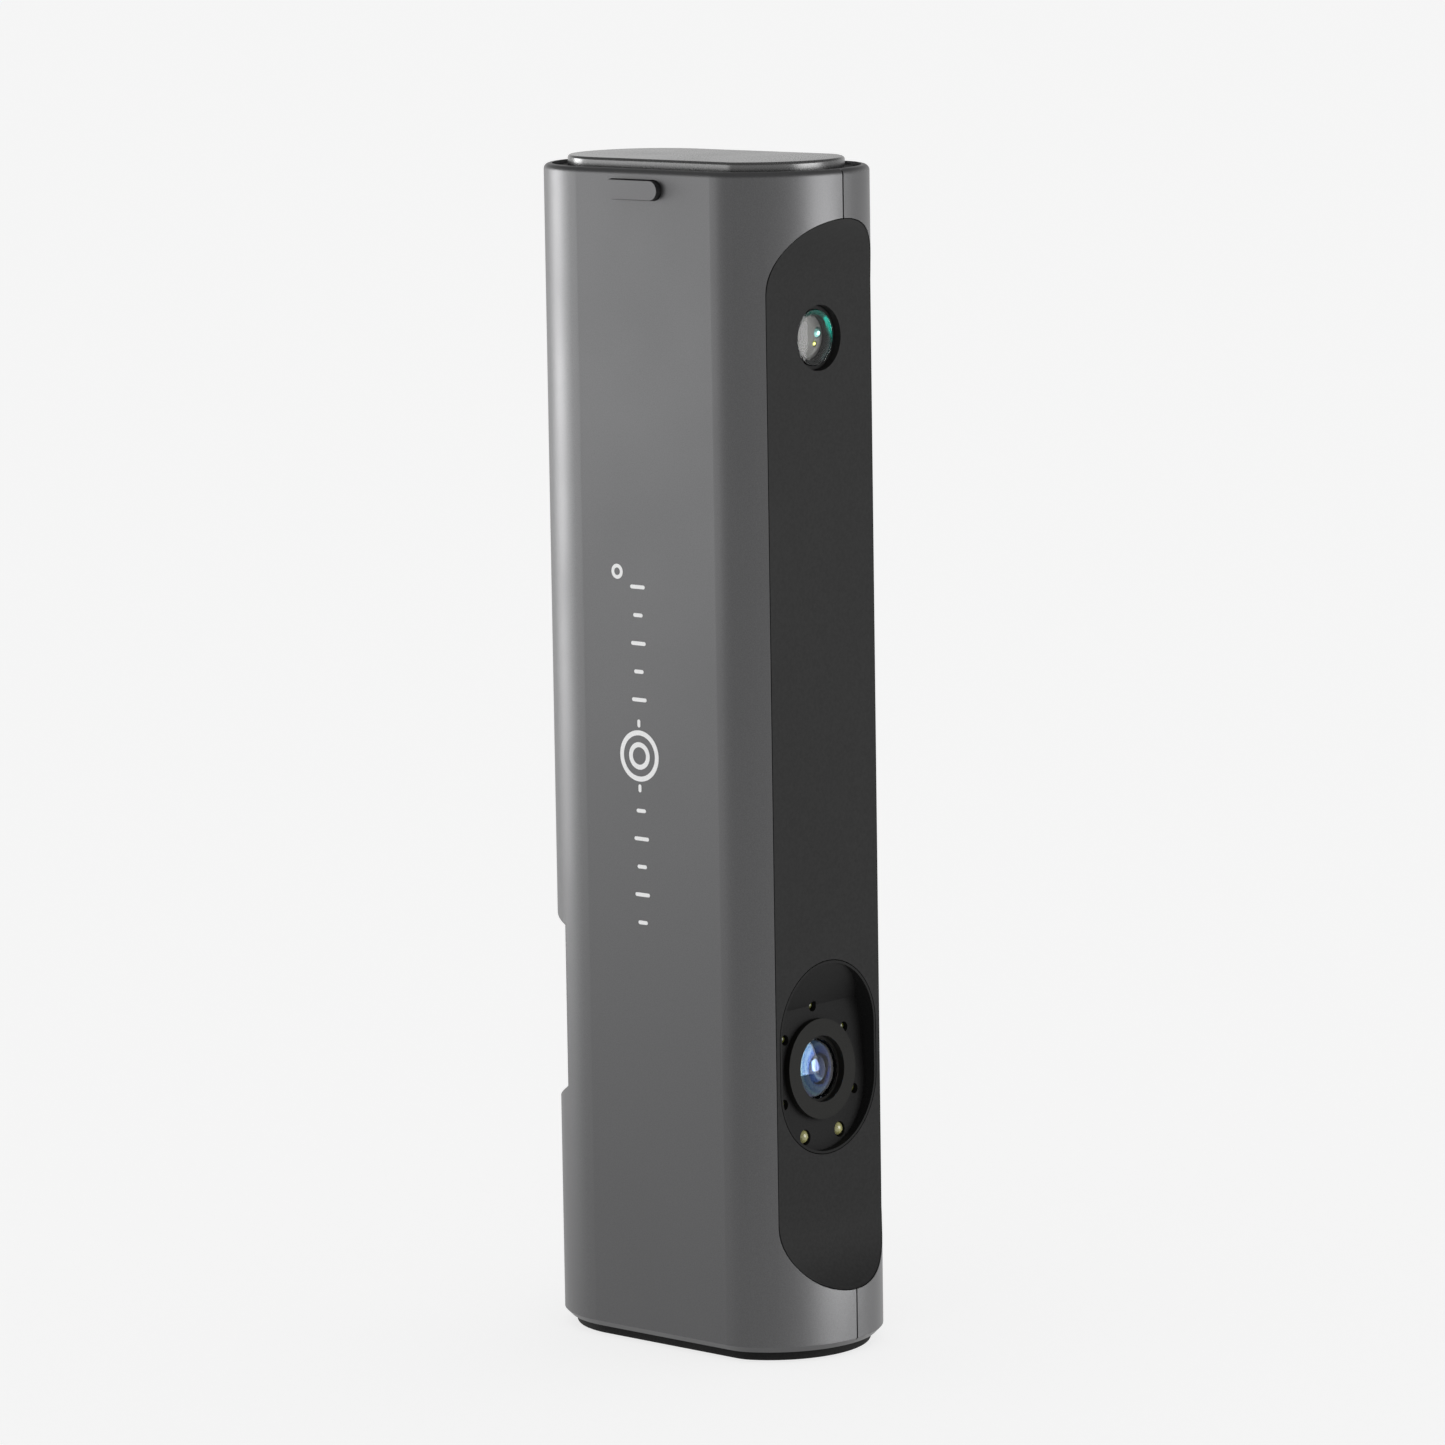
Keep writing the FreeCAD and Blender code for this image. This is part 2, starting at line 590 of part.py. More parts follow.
def make_window():
    """The dark front window and the adhesive frame behind it."""
    edge = prism("window_edge", "XZ_Plane", -half_depth - 1, ledge_y, window_outline, s.window_margin)
    front = sweep_slot("window_front")
    middle = sweep_slot("window_middle", s.window_thick)
    back = sweep_slot("window_back", glue_back)
    camera_room = prism("camera_room", "XZ_Plane", -half_depth, ledge_y + 1, slot, s.recess_half,
                        s.recess_low + s.recess_half, s.recess_high - s.recess_half)
    beam_room = rod("beam_room", s.projector_hole, "Y", -half_depth, half_depth,
                    (0, projector_height))
    panel = common("window_panel", cut("window_layer", middle, front), edge)
    keep(cut("front_window_body", panel, camera_room, beam_room), "front_window")
    inner_half = facet_half - s.window_margin - s.ledge_width
    inside = prism("glue_inside", "XZ_Plane", ledge_y - 1, ledge_y + 1, slot, inner_half,
                   flat_low + inner_half, flat_high - inner_half)
    glue = common("glue", cut("glue_layer", back, middle), edge)
    keep(cut("window_gasket_body", glue, inside, camera_room), "window_gasket")


# ---------------------------------------------------------------- camera

def floor_y(height):
    """The recess floor's place at a height: it leans back towards the top."""
    return facet_y + s.floor_sunk + (height - s.recess_low) * tangent(s.camera_tilt)


def lean(name, size, start, length):
    """A cylinder on the camera's leaning axis, measured outward from the recess floor."""
    cylinder = doc.addObject("Part::Cylinder", name)
    bind(cylinder, "Radius", sized(size) / 2)
    bind(cylinder, "Height", length)
    put_leaning(cylinder, start)
    return cylinder


def put_leaning(thing, start):
    thing.Placement = FreeCAD.Placement(
        FreeCAD.Vector(), FreeCAD.Rotation(FreeCAD.Vector(1, 0, 0), 90))
    bind(thing, "Placement.Rotation.Angle", 90 - s.camera_tilt)
    bind(thing, "Placement.Base.y", floor_y(s.lens_height) - start * cosine(s.camera_tilt))
    bind(thing, "Placement.Base.z", s.lens_height + start * sine(s.camera_tilt))


def lens(name, size, start, length, curve):
    """A domed glass on the camera's axis: start is its flat back, curve the dome's radius."""
    ball = doc.addObject("Part::Sphere", name + "_ball")
    bind(ball, "Radius", curve)
    put_leaning(ball, start + length - curve)
    return common(name, lean(name + "_rim", size, start, length), ball)


LED_PLACES = [(-4.2, -10.4, 2.4), (4.2, -10.4, 2.4), (-8.5, -4.5, 1.6), (8.5, -4.5, 1.6),
              (-7.2, 5.6, 1.6), (7.2, 5.6, 1.6), (0, 10, 1.6)]


def make_camera_front():
    """The scooped bezel around the camera, its retaining ring, and the ring of small lamps."""
    half = s.recess_half - s.gap
    low = s.recess_low + s.recess_half
    high = s.recess_high - s.recess_half
    back = facet_y + s.bezel_back
    shell = prism("bezel_shell", "XZ_Plane", facet_y, back, slot, half, low, high)
    flange = prism("bezel_flange", "XZ_Plane", cavity_y, back, slot, half + 0.7, low, high)
    inside = prism("scoop_edge", "XZ_Plane", facet_y - 1, back, slot, half - s.recess_wall, low, high)
    deep = floor_y(s.ramp_foot)
    ramp_top = s.recess_high - s.recess_wall
    scoop = prism("scoop_side", "YZ_Plane", -half_width, half_width, polygon,
                  (facet_y - 1, s.recess_low - 1), (floor_y(s.recess_low - 1), s.recess_low - 1),
                  (deep, s.ramp_foot), (facet_y, ramp_top), (facet_y - 1, ramp_top + 1))
    tools = [common("scoop", inside, scoop),
             lean("barrel_way", s.barrel_size + 2 * s.gap, sized(-6), 12)]
    for count, (across, up, size) in enumerate(LED_PLACES):
        tools.append(rod(f"led_way_{count}", size + 0.1, "Y", facet_y, s.bezel_back + 1,
                         (across, s.lens_height + up)))
    keep(cut("camera_bezel_body", fuse("bezel_solid", shell, flange), *tools), "camera_bezel")

    ring = lean("ring_solid", s.ring_size, sized(0), s.ring_rise)
    ring_inside = lean("ring_inside", s.camera_glass + 0.9, sized(-1), s.ring_rise + 2)
    keep(cut("lens_ring_body", ring, ring_inside), "lens_ring")

    board_front = back + 0.2
    lamps = []
    chips = []
    for count, (across, up, size) in enumerate(LED_PLACES):
        height = s.lens_height + up
        tip_centre = floor_y(height) + size * 0.17
        ball = doc.addObject("Part::Sphere", f"led_ball_{count}")
        bind(ball, "Radius", sized(size) / 2)
        for axis, at in zip("xyz", (sized(across), tip_centre, height)):
            bind(ball, f"Placement.Base.{axis}", at)
        stem_back = board_front - 0.5
        stem = rod(f"led_stem_{count}", size, "Y", tip_centre, stem_back - tip_centre, (across, height))
        lamps.append(fuse(f"led_lens_{count}", ball, stem))
        chips.append(block(f"led_chip_{count}", (across - 0.5, across + 0.5), (stem_back, board_front),
                           (height - 0.5, height + 0.5)))
    group("led_lenses", lamps)
    group("led_chips", chips)
    board = block("led_board_solid", (-10.5, 10.5), (board_front, board_front + 1),
                  (s.recess_low + 1, s.recess_high - 1))
    board_hole = rod("led_board_hole", s.barrel_size + 2, "Y", board_front - 1, 3, (0, s.lens_height - 0.5))
    keep(cut("led_board_body", board, board_hole), "led_board")


def make_camera():
    """The camera behind the bezel: barrel, glass, holder, filter, sensor and board."""
    back = -s.barrel_length
    barrel = lean("barrel_solid", s.barrel_size, back, s.barrel_length)
    bore = lean("barrel_bore", s.camera_glass, back - 1, s.barrel_length + 2)
    keep(cut("camera_barrel_body", barrel, bore), "camera_barrel")
    keep(lens("front_glass", s.camera_glass, -s.glass_sunk, 2.4, sized(14)), "camera_front_lens")
    keep(lens("rear_glass", s.camera_glass, back + 2, 2.0, sized(16)), "camera_rear_lens")
    board_front = s.frame_front - s.board_thick
    mount = block("mount_solid", (-9, 9), (board_front - 8.5, board_front),
                  (s.lens_height - 9, s.lens_height + 9))
    mount_bore = lean("mount_bore", s.barrel_size, back - 0.2, s.barrel_length + 1)
    mount_room = block("mount_room", (-5, 5), (board_front - 2.6, board_front),
                       (s.lens_height - 5, s.lens_height + 5))
    keep(cut("camera_mount_body", mount, mount_bore, mount_room), "camera_mount")
    span = (s.lens_height - 4, s.lens_height + 4)
    keep(block("filter_solid", (-5, 5), (board_front - 1.9, board_front - 1.5),
               (s.lens_height - 5, s.lens_height + 5)), "ir_filter")
    keep(block("sensor_solid", (-4, 4), (board_front - 0.9, board_front), span), "image_sensor")
    keep(block("camera_board_solid", (-10.5, 10.5), (board_front, s.frame_front),
               (s.lens_height - 12, s.lens_height + 14)), "camera_board")


def make_cable(label, half, front, low, turn, high):
    """A flat cable that leaves a front board, turns through the frame and meets the main board."""
    thick = s.cable_thick
    leave = block(label + "_leave", (-half, half), (front - thick, front), (low, turn + thick))
    cross = block(label + "_cross", (-half, half), (front - thick, board_y), (turn, turn + thick))
    meet = block(label + "_meet", (-half, half), (board_y - thick, board_y), (turn, high))
    keep(fuse(label + "_body", leave, cross, meet), label)


# ---------------------------------------------------------------- projector

def make_projector():
    """The pattern projector: front ring and glass, housing, optics, lamp and cooling."""
    height = projector_height
    centre = (0, height)
    front = facet_y + s.beam_ring_sunk
    glass_front = facet_y + s.projector_sunk
    housing_front = facet_y + s.bezel_back + 1
    ring = rod("beam_ring", s.projector_hole - 2 * s.gap, "Y", front, housing_front - front, centre)
    ring_flange = rod("beam_flange", s.projector_hole + 2, "Y", cavity_y, housing_front - cavity_y, centre)
    seat = rod("beam_seat", s.projector_glass + 0.2, "Y", front - 1,
               glass_front + s.glass_thick - front + 1, centre)
    bore = rod("beam_bore", s.projector_glass - 1.4, "Y", front - 1, 12, centre)
    solid = fuse("beam_ring_solid", ring, ring_flange)
    keep(cut("projector_bezel_body", solid, seat, bore), "projector_bezel")
    keep(rod("beam_glass", s.projector_glass, "Y", glass_front, s.glass_thick, centre), "projector_lens")

    board_front = s.frame_front - s.board_thick
    half = s.housing_half
    span = (height - half - 1, height + half + 1)
    housing = block("housing_solid", (-half, half), (housing_front, board_front), span)
    inner = s.projector_hole
    way = rod("housing_way", inner, "Y", housing_front - 1, board_front - housing_front + 2, centre)
    keep(cut("projector_housing_body", housing, way), "projector_housing")
    keep(rod("beam_rear_glass", inner, "Y", housing_front + 1.4, 2.2, centre), "projector_rear_lens")
    keep(rod("slide_solid", inner, "Y", housing_front + 5, 0.5, centre), "pattern_slide")
    keep(block("emitter_solid", (-1.6, 1.6), (board_front - 0.9, board_front),
               (height - 1.6, height + 1.6)), "projector_emitter")
    keep(block("projector_board_solid", (-half, half), (board_front, s.frame_front), span),
         "projector_board")
    pad_back = frame_back + 0.5
    keep(block("pad_solid", (-half, half), (frame_back, pad_back), span), "thermal_pad")
    sink = [block("sink_base", (-half, half), (pad_back, pad_back + 1.5), span)]
    fin_count = 6
    fin_thick = 1.2
    for count in range(fin_count):
        left = -half + count * (2 * half - fin_thick) / (fin_count - 1)
        sink.append(block(f"sink_fin_{count}", (left, left + fin_thick), (pad_back, pad_back + 7), span))
    keep(fuse("heat_sink_body", *sink), "heat_sink")


# ---------------------------------------------------------------- frame and boards

def board_places():
    return [(side * 10, up) for side in (-1, 1) for up in (s.board_low + 5, board_high - 5)]


def make_frame():
    """The aluminium backbone that holds projector and camera in line, and the main board on it."""
    plate = block("frame_solid", (-s.frame_half - 2, s.frame_half + 2), (s.frame_front, frame_back),
                  (s.frame_low, frame_high))
    window = prism("frame_window", "XZ_Plane", s.frame_front, frame_back, slot, 7,
                   s.recess_high + 9, projector_height - 28)
    drills = posts("frame_drill", s.screw_shaft, s.frame_front, frame_back)
    drills += [rod(f"standoff_drill_{count}", s.screw_shaft, "Y", s.frame_front, s.frame_thick, place)
               for count, place in enumerate(board_places())]
    keep(cut("optical_frame_body", plate, window, *drills), "optical_frame")
    screws = []
    for side in (-1, 1):
        for height in (s.frame_low + 5, frame_high - 28):
            screws.append(screw(f"frame_screw_{len(screws)}", "Y", frame_back + s.screw_head_thick, -1,
                                s.screw_head_thick + s.frame_thick + 7, (side * s.post_out, height)))
    group("frame_screws", screws)

    tubes = []
    board_screws = []
    board_back = board_y + s.board_thick
    for count, place in enumerate(board_places()):
        outer = rod(f"standoff_{count}_solid", s.post_size, "Y", frame_back, s.standoff, place)
        inner = rod(f"standoff_{count}_bore", s.screw_shaft, "Y", frame_back - 1, s.standoff + 2, place)
        tubes.append(cut(f"standoff_{count}", outer, inner))
        board_screws.append(screw(f"board_screw_{count}", "Y", board_back + s.screw_head_thick, -1,
                                  s.screw_head_thick + s.board_thick + 5, place))
    group("board_standoffs", tubes)
    group("board_screws", board_screws)
    board = block("main_board_solid", (-s.board_half, s.board_half), (board_y, board_back),
                  (s.board_low, board_high))
    holes = [rod(f"board_drill_{count}", s.screw_shaft, "Y", board_y - 1, 4, place)
             for count, place in enumerate(board_places())]
    keep(cut("main_board_body", board, *holes), "main_board")
    low = s.board_low
    keep(block("processor_solid", (-6, 6), (board_back, board_back + 1.4), (low + 26, low + 38)),
         "processor")
    group("memory_chips", [block(f"memory_{side}", (side * 5 - 3, side * 5 + 3),
                                 (board_back, board_back + 1.1), (low + 12, low + 22))
                           for side in (-1, 1)])
    can = block("can_solid", (-8, 8), (board_back, board_back + 2.8), (low + 42, low + 62))
    room = block("can_room", (-7.7, 7.7), (board_back, board_back + 2.5), (low + 42.3, low + 61.7))
    keep(cut("shield_can_body", can, room), "shield_can")


# ---------------------------------------------------------------- keys

def panel_under():
    """How far forward the key panel's plug reaches: just inside the wall at its edge."""
    edge = back_radius - s.wall
    reach = s.panel_half + s.panel_flange
    return half_depth - back_radius + root(edge * edge - reach * reach) - s.gap


def make_key_panel():
    """The key panel in the back, with its three keys, status light, switches and board."""
    half = s.panel_half - s.gap
    low = s.panel_low + s.panel_half
    high = s.panel_high - s.panel_half
    under = panel_under()
    flange_front = under - 1
    skin = panel_y - s.panel_face
    plug = prism("panel_plug", "XZ_Plane", under, panel_y, slot, half, low, high)
    flange = prism("panel_rim", "XZ_Plane", flange_front, under, slot, half + s.panel_flange, low, high)
    room = prism("panel_room", "XZ_Plane", flange_front, skin, slot, half - 1.2, low, high)
    keys = [("scan_key", s.scan_size, s.scan_height),
            ("plus_key", s.small_size, s.scan_height + s.key_pitch),
            ("minus_key", s.small_size, s.scan_height - s.key_pitch)]
    light_hole = rod("light_hole", 1.6, "Y", skin - 1, s.panel_face + 2, (0, s.light_height))
    holes = [rod(label + "_hole", size, "Y", skin - 1, s.panel_face + 2, (0, height))
             for label, size, height in keys]
    solid = fuse("panel_solid", plug, flange)
    keep(cut("key_panel_body", solid, room, light_hole, *holes), "key_panel")
    keep(fuse("light_solid",
              rod("light_stem", 1.5, "Y", flange_front + 0.8, panel_y - flange_front - 0.8,
                  (0, s.light_height)),
              rod("light_foot", 2.6, "Y", flange_front + 0.8, 0.6, (0, s.light_height))), "status_light")
    keep(block("status_led_solid", (-0.8, 0.8), (flange_front, flange_front + 0.6),
               (s.light_height - 0.8, s.light_height + 0.8)), "status_led")
    switches = []
    switch_top = flange_front + 0.6
    for label, size, height in keys:
        cap_size = size - 2 * s.gap
        collar = skin - 0.05
        stem_end = switch_top + s.key_travel + 0.05
        cap = rod(label + "_cap", cap_size, "Y", collar - 0.8, panel_y + s.key_rise - collar + 0.8, (0, height))
        rim = rod(label + "_rim", cap_size + 1.2, "Y", collar - 0.8, 0.8, (0, height))
        stem = rod(label + "_stem", 3, "Y", stem_end, collar - stem_end, (0, height))
        keep(fuse(label + "_body", cap, rim, stem), label)
        switches.append(block(label + "_switch", (-2, 2), (flange_front, switch_top),
                              (height - 2, height + 2)))
    group("key_switches", switches)
    keep(block("key_board_solid", (-half, half), (flange_front - 1, flange_front),
               (s.panel_low + 2, s.panel_high - 2)), "key_board")
    back = board_y + s.board_thick
    cable_z = s.panel_low - 3
    rise = block("key_cable_rise", (-4, 4), (flange_front - 1 - s.cable_thick, flange_front - 1),
                 (cable_z, s.panel_low + 8))
    cross = block("key_cable_cross", (-4, 4), (back, flange_front - 1),
                  (cable_z, cable_z + s.cable_thick))
    keep(fuse("key_cable_body", rise, cross), "key_cable")


def make_side_key():
    """The press key high on the left side, with the small switch and board behind it."""
    inner = s.wall - half_width + s.gap
    cap = prism("side_cap", "YZ_Plane", -half_width - s.side_key_rise, inner, side_key_outline)
    low = flange_low - 2
    rim = block("side_rim", (inner, inner + 0.8), (s.side_key_low - 1.2, s.side_key_high + 1.2),
                (low, lip_under - s.gap))
    middle = (s.side_key_low + s.side_key_high) / 2
    stem_end = inner + 2
    stem = block("side_stem", (inner, stem_end), (middle - 1.2, middle + 1.2), (low, flange_low - 0.4))
    keep(fuse("side_key_body", cap, rim, stem), "side_key")
    switch_x = stem_end + s.side_travel + 0.05
    keep(block("side_switch_solid", (switch_x, switch_x + 1.3), (middle - 1.8, middle + 1.8),
               (low - 0.6, flange_low - 0.2)), "side_switch")
    keep(block("side_board_solid", (switch_x + 1.3, switch_x + 2.1), (middle - 4.5, middle + 4.5),
               (low - 6, flange_low)), "side_switch_board")


# ---------------------------------------------------------------- saddle and socket

def saddle_middle():
    return (s.saddle_low + s.saddle_high) / 2


def plate_span(grow=0):
    """The saddle plate's lowest and highest places, in the floor of the saddle."""
    return (s.saddle_low + 3.4 - grow, s.saddle_high - 3.4 + grow)


def make_saddle():
    """The metal plate in the saddle, with its threaded insert and screws."""
    floor = saddle_y - s.saddle_plate
    centre = (0, saddle_middle())
    plate = block("plate_solid", (-s.saddle_half, s.saddle_half), (floor, saddle_y), plate_span())
    boss = rod("plate_boss", s.insert_size + 2 * s.wall, "Y", saddle_y - s.insert_length,
               s.insert_length - s.saddle_plate, centre)
    tools = [rod("insert_hole", s.insert_size, "Y", saddle_y - s.insert_length, s.insert_length, centre)]
    screws = []
    for count, (across, up) in enumerate(PLATE_PLACES):
        place = (across, saddle_middle() + up)
        tools.append(rod(f"plate_sink_{count}", s.screw_head, "Y", saddle_y - s.screw_head_thick,
                         s.screw_head_thick, place))
        tools.append(rod(f"plate_hole_{count}", s.screw_shaft, "Y", floor, s.saddle_plate, place))
        screws.append(screw(f"plate_screw_{count}", "Y", saddle_y, -1, s.saddle_plate + 3, place))
    keep(cut("saddle_plate_body", fuse("plate_and_boss", plate, boss), *tools), "saddle_plate")
    group("saddle_screws", screws)
    insert = rod("insert_solid", s.insert_size, "Y", saddle_y - s.insert_length, s.insert_length, centre)
    bore = rod("insert_bore", s.thread_bore, "Y", saddle_y - s.insert_length, s.insert_length, centre)
    keep(cut("thread_insert_body", insert, bore), "thread_insert")


def socket_ends():
    """The centres of the socket's round ends."""
    reach = (s.socket_tall - s.socket_wide) / 2
    return (s.socket_height - reach, s.socket_height + reach)


def make_socket():
    """The charging and data socket low in the back, on its own small board."""
    mouth = half_depth - s.socket_sunk
    back = mouth - s.socket_deep
    half = s.socket_wide / 2
    shell = prism("socket_solid", "XZ_Plane", back, mouth, slot, half, *socket_ends())
    room = prism("socket_room", "XZ_Plane", back + 0.6, mouth, slot, half - s.socket_skin, *socket_ends())
    keep(cut("usb_receptacle_body", shell, room), "usb_receptacle")
    keep(block("tongue_solid", (-0.35, 0.35), (back + 0.6, mouth - 0.8),
               (s.socket_height - 3.3, s.socket_height + 3.3)), "usb_tongue")
    board = block("usb_board_solid", (half, half + 1), (frame_back + 10, back + 5),
                  (s.socket_height - 11, s.socket_height + 9))
    keep(board, "usb_board")
    x = half + 1
    board_back = board_y + s.board_thick
    run = block("usb_cable_run", (x, x + s.cable_thick), (frame_back + 10, frame_back + 14),
                (s.socket_height + 5, s.board_low + 3))
    meet = block("usb_cable_meet", (x, x + s.cable_thick), (board_back, frame_back + 14),
                 (s.board_low + 1, s.board_low + 3))
    keep(fuse("usb_cable_body", run, meet), "usb_cable")


def check_and_write():
    """Refuse a failed or invalid object, then write one STEP file for each piece."""
    doc.recompute()
    for thing in doc.Objects:
        if "Invalid" in thing.State or "Error" in thing.State:
            raise RuntimeError(f"{thing.Name} failed: {thing.State}")
    for piece in pieces:
        shape = piece.Shape
        if shape.isNull() or not shape.isValid() or not shape.Solids:
            raise RuntimeError(f"{piece.Label} has no valid solid")
    os.makedirs("parts", exist_ok=True)
    for piece in pieces:
        piece.Shape.exportStep(os.path.join("parts", piece.Label + ".step"))
    print(len(pieces), "pieces written")


make_case()
make_ends()
make_window()
make_camera_front()
make_camera()
make_cable("camera_cable", 4, s.frame_front - s.board_thick, s.lens_height + 9.5,
           s.recess_high + 4, s.board_low + 4)
make_cable("projector_cable", 3, s.frame_front - s.board_thick, projector_height - 26,
           projector_height - 26, board_high)
make_projector()
make_frame()
make_key_panel()
make_side_key()
make_saddle()
make_socket()
check_and_write()
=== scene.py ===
"""The looks of the handheld scanner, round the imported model.

It adds materials, fine pieces, a floor, lights and a camera. Sizes are in millimetres unless they
say otherwise, and MM turns them into the frame's metres.
"""
import math

import bmesh
import bpy
from mathutils import Matrix, Vector


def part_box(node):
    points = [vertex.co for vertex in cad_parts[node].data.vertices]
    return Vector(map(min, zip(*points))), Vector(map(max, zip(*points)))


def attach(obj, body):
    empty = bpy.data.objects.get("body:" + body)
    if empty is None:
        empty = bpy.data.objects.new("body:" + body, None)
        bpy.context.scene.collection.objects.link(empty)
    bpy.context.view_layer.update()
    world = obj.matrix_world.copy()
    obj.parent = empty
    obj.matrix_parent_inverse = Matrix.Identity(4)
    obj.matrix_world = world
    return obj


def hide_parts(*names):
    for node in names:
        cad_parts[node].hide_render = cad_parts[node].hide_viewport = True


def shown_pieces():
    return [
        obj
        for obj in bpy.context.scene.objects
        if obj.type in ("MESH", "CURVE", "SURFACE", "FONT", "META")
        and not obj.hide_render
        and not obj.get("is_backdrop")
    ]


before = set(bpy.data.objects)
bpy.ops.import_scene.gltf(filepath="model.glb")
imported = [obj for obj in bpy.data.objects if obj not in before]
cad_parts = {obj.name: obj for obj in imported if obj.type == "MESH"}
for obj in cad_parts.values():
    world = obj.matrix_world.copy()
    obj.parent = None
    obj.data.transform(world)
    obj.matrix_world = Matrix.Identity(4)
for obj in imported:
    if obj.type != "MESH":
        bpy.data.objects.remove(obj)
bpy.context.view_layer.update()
MM = 0.001

# ---------------------------------------------------------------- materials

NOISE_LOW = 0.3
NOISE_HIGH = 0.7


class Nodes:
    """A material's node tree, with one Principled shader that its sockets are set on."""

    def __init__(self, name):
        self.material = bpy.data.materials.new(name)
        self.material.use_nodes = True
        self.tree = self.material.node_tree
        self.shader = self.tree.nodes["Principled BSDF"]
        # Object coordinates, which are metres.
        self.place = self.add("ShaderNodeTexCoord").outputs["Object"]

    def add(self, kind, **settings):
        node = self.tree.nodes.new(kind)
        for name, value in settings.items():
            setattr(node, name, value)
        return node

    def link(self, start, end):
        self.tree.links.new(start, end)

    def set(self, **values):
        for name, value in values.items():
            self.shader.inputs[name.replace("_", " ")].default_value = value

    def noise(self, grain, detail=3.0, stretch=(1, 1, 1), seed=0.0):
        """Noise with a grain of so many millimetres, drawn out along an axis if asked."""
        mapping = self.add("ShaderNodeMapping")
        mapping.inputs["Scale"].default_value = stretch
        mapping.inputs["Location"].default_value = (seed, seed, seed)
        texture = self.add("ShaderNodeTexNoise")
        texture.inputs["Scale"].default_value = 1 / (grain * MM)
        texture.inputs["Detail"].default_value = detail
        self.link(self.place, mapping.inputs["Vector"])
        self.link(mapping.outputs["Vector"], texture.inputs["Vector"])
        return texture.outputs["Fac"]

    def ramp(self, value, stops):
        """A colour for each value, from (position, colour) stops."""
        node = self.add("ShaderNodeValToRGB")
        while len(node.color_ramp.elements) < len(stops):
            node.color_ramp.elements.new(0.5)
        for element, (position, colour) in zip(node.color_ramp.elements, stops):
            element.position = position
            element.color = (*colour, 1)
        self.link(value, node.inputs["Fac"])
        return node.outputs["Color"]

    def math(self, operation, first, second=0.0):
        """The result of a sum on two values, each a number or a socket."""
        node = self.add("ShaderNodeMath", operation=operation)
        for socket, value in zip(node.inputs, (first, second)):
            if isinstance(value, (int, float)):
                socket.default_value = value
            else:
                self.link(value, socket)
        return node.outputs["Value"]

    def between(self, value, low, high):
        """The usual reach of a noise, stretched to run from low to high."""
        node = self.add("ShaderNodeMapRange")
        node.inputs["From Min"].default_value = NOISE_LOW
        node.inputs["From Max"].default_value = NOISE_HIGH
        node.inputs["To Min"].default_value = low
        node.inputs["To Max"].default_value = high
        self.link(value, node.inputs["Value"])
        return node.outputs["Result"]

    def mixed(self, value, first, second):
        """The first colour where the value is 0 and the second where it is 1."""
        node = self.add("ShaderNodeMix", data_type="RGBA")
        self.link(value, node.inputs["Factor"])
        for socket, colour in ((node.inputs[6], first), (node.inputs[7], second)):
            if isinstance(colour, tuple):
                socket.default_value = (*colour, 1)
            else:
                self.link(colour, socket)
        return node.outputs[2]

    def bump(self, height, strength, deep):
        """Relief of so many millimetres."""
        node = self.add("ShaderNodeBump")
        node.inputs["Strength"].default_value = strength
        node.inputs["Distance"].default_value = deep * MM
        self.link(height, node.inputs["Height"])
        self.link(node.outputs["Normal"], self.shader.inputs["Normal"])

    def colour(self, socket):
        self.link(socket, self.shader.inputs["Base Color"])

    def rough(self, socket):
        self.link(socket, self.shader.inputs["Roughness"])


SMUDGE_SIZE = 23.0


def surface(name, dark, light, rough, grain, relief, stretch=(1, 1, 1), smudge=0.06, **sockets):
    """A material with fine grain in its colour and relief, and broad faint smudges in its gloss.

    The grain and the depth of the relief are millimetres. Further names are the shader's sockets.
    """
    nodes = Nodes(name)
    fine = nodes.noise(grain, 4.0, stretch)
    broad = nodes.noise(SMUDGE_SIZE, 2.0, seed=1.7)
    nodes.colour(nodes.ramp(fine, [(0.32, dark), (0.68, light)]))
    blend = nodes.math("MULTIPLY_ADD", fine, 0.5)
    nodes.link(nodes.math("MULTIPLY", broad, 0.5), blend.node.inputs[2])
    nodes.rough(nodes.between(blend, rough - smudge, rough + smudge))
    nodes.bump(fine, 0.5, relief)
    nodes.set(**sockets)
    return nodes.material


def grey(value, tint=0.0):
    """A grey, made bluer or browner by a small tint."""
    return (value, value, value * (1 + tint))


def board_material():
    """Green solder mask, with tracks and pads showing through."""
    nodes = Nodes("solder_mask")
    brick = nodes.add("ShaderNodeTexBrick", offset=0.37, squash=1.7)
    layout = {"Scale": 260.0, "Mortar Size": 0.035, "Brick Width": 0.9, "Row Height": 0.22}
    for name, value in layout.items():
        brick.inputs[name].default_value = value
    turned = nodes.add("ShaderNodeMapping")
    turned.inputs["Rotation"].default_value = (math.radians(90), 0, 0)
    nodes.link(nodes.place, turned.inputs["Vector"])
    nodes.link(turned.outputs["Vector"], brick.inputs["Vector"])
    tracks = brick.outputs["Fac"]
    mask = nodes.ramp(nodes.noise(0.6), [(0.3, (0.006, 0.075, 0.03)), (0.7, (0.01, 0.1, 0.042))])
    nodes.colour(nodes.mixed(tracks, mask, (0.02, 0.17, 0.06)))
    nodes.rough(nodes.between(nodes.noise(3.0), 0.28, 0.42))
    nodes.bump(tracks, 0.6, 0.03)
    nodes.set(Coat_Weight=0.4)
    return nodes.material


